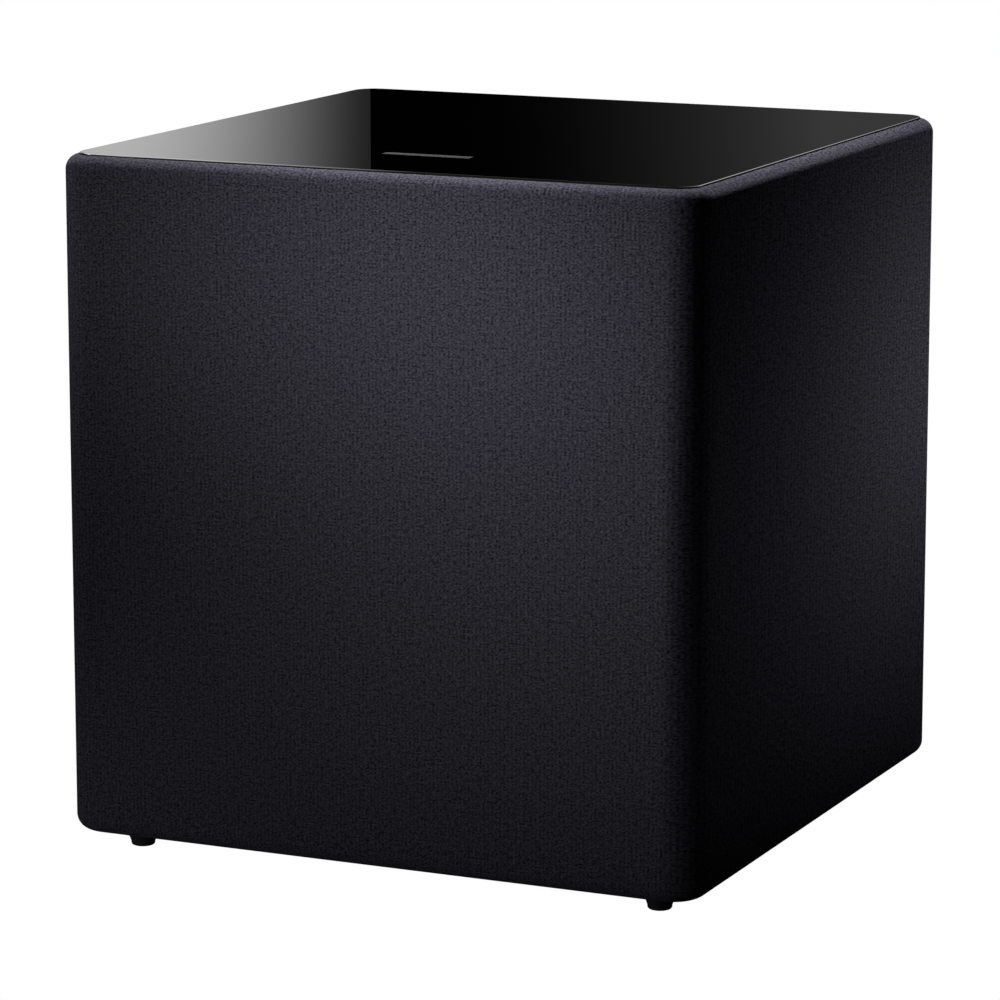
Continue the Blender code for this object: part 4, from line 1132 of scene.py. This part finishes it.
# Name, place, aim, side, watts and spread in degrees; the last two are left out of reflections
LIGHTS = (
    ("front_key", (-0.93, -0.939, 0.689), (0.02, -0.2, 0.3), 0.2, 0.225, 19),
    ("high_key", (-0.929, -0.545, 1.11), (0.14, -0.2, 0.27), 0.2, 0.095, 12),
    ("front_top", (-0.634, -1.107, 0.802), (0.08, -0.2, 0.39), 0.2, 0.14, 12),
    ("front_left", LOW_FRONT, (-0.17, -0.2, 0.03), 0.2, 0.042, 16),
    ("front_right", LOW_FRONT, (0.08, -0.2, 0.1), 0.2, 0.08, 22),
    ("side", (0.933, 0.645, 0.37), SIDE_MIDDLE, 0.2, 0.1, 34),
    ("side_rear", (0.732, 0.864, 0.37), SIDE_MIDDLE, 0.2, 0.19, 24),
    ("top", (-0.2, 0.35, 1.45), (0, 0, 0.4), 0.3, 5, 40),
    ("rear", (-0.9, 1.15, 0.85), (-0.05, 0.19, 0.2), 0.7, 16, 180),
)


def area_light(name, at, aim, side, power, spread):
    data = bpy.data.lights.new(name, "AREA")
    data.shape = "RECTANGLE"
    data.size = side
    data.size_y = side
    data.energy = power
    data.spread = math.radians(spread)
    made = link(bpy.data.objects.new(name, data))
    made.location = at
    made.rotation_euler = (Vector(at) - Vector(aim)).to_track_quat("Z", "Y").to_euler()
    made.visible_camera = False
    made.visible_glossy = name not in ("top", "rear")


def make_world():
    """White for the camera. For reflections, a glow up to a sharp edge, black, then a slow rise."""
    world = bpy.data.worlds.new("studio")
    bpy.context.scene.world = world
    world.use_nodes = True
    tree = world.node_tree
    tree.nodes.clear()
    nodes = Nodes(tree)
    ray = nodes.add("ShaderNodeTexCoord", out=0)
    sideways = nodes.add("ShaderNodeVectorMath", {0: ray, 1: RIGHT}, out=1, operation="DOT_PRODUCT")
    forwards = nodes.add("ShaderNodeVectorMath", {0: ray, 1: AHEAD}, out=1, operation="DOT_PRODUCT")
    heading = nodes.math("MULTIPLY", nodes.math("ARCTAN2", sideways, forwards), math.degrees(1))
    leftward = nodes.math("MULTIPLY", heading, -1)
    left = nodes.spread(leftward, 1.45, 4.95, *LEFT_GLOW, kind="SMOOTHSTEP")
    left = nodes.math("MULTIPLY", left, nodes.spread(heading, -12, -70, 1, 0.3))
    left = nodes.math("MULTIPLY", left, nodes.math("LESS_THAN", heading, SHARP_EDGE))
    right = nodes.math("POWER", nodes.spread(heading, -1.2, 4.0), 3.0)
    right = nodes.math("MULTIPLY", right, RIGHT_GLOW)
    glow = nodes.math("ADD", left, right)
    up = nodes.add("ShaderNodeSeparateXYZ", {"Vector": ray}, out=2)
    glow = nodes.math("MULTIPLY", glow, nodes.spread(up, 0.35, 0.8, 1, 0.35))
    east = nodes.add("ShaderNodeSeparateXYZ", {"Vector": ray}, out=0)
    overhead = nodes.math("MULTIPLY", nodes.spread(up, 0.5, 0.6), nodes.spread(up, 0.97, 0.93))
    overhead = nodes.math("MULTIPLY", overhead, nodes.spread(east, -0.425, -0.475, 0, OVERHEAD_GLOW))
    window = nodes.math("MULTIPLY", nodes.spread(heading, 13, 20), nodes.spread(heading, 75, 60))
    window = nodes.math("MULTIPLY", window, nodes.spread(up, 0.28, 0.36, 0, WINDOW_GLOW))
    glow = nodes.math("ADD", glow, nodes.math("ADD", overhead, window))
    path = tree.nodes.new("ShaderNodeLightPath")
    reflected = nodes.math("MULTIPLY", glow, path.outputs["Is Glossy Ray"])
    ambient = nodes.math("MULTIPLY", path.outputs["Is Diffuse Ray"], AMBIENT)
    strength = nodes.math("ADD", nodes.math("ADD", reflected, path.outputs["Is Camera Ray"]), ambient)
    shade = nodes.add("ShaderNodeBackground", {"Color": (1, 1, 1, 1), "Strength": strength})
    output = tree.nodes.new("ShaderNodeOutputWorld")
    tree.links.new(shade, output.inputs["Surface"])


def make_floor():
    """Plain white floor, which throws little light back at the object."""
    shape = bmesh.new()
    bmesh.ops.create_circle(shape, cap_ends=True, segments=96, radius=14)
    floor = link(bpy.data.objects.new("floor", mesh_of("floor", shape)))
    floor.location.z = CAD_LOW.z - 0.05 * MM
    made = bpy.data.materials.new("floor")
    made.use_nodes = True
    tree = made.node_tree
    tree.nodes.clear()
    nodes = Nodes(tree)
    path = tree.nodes.new("ShaderNodeLightPath")
    white = nodes.add("ShaderNodeEmission")
    dim = nodes.add("ShaderNodeBsdfDiffuse", {"Color": (0.12, 0.12, 0.12, 1)})
    shade = nodes.add("ShaderNodeMixShader", {0: path.outputs["Is Camera Ray"], 1: dim, 2: white})
    output = tree.nodes.new("ShaderNodeOutputMaterial")
    tree.links.new(shade, output.inputs["Surface"])
    floor.data.materials.append(made)


def make_studio():
    bpy.context.scene.view_settings.view_transform = "Standard"
    make_world()
    make_floor()
    for light in LIGHTS:
        area_light(*light)


# -------------------- all of it

make_camera()
finish_nodes()
cloth_sleeve()
top_panel()
feet()
rear_controls()
driver()
make_studio()
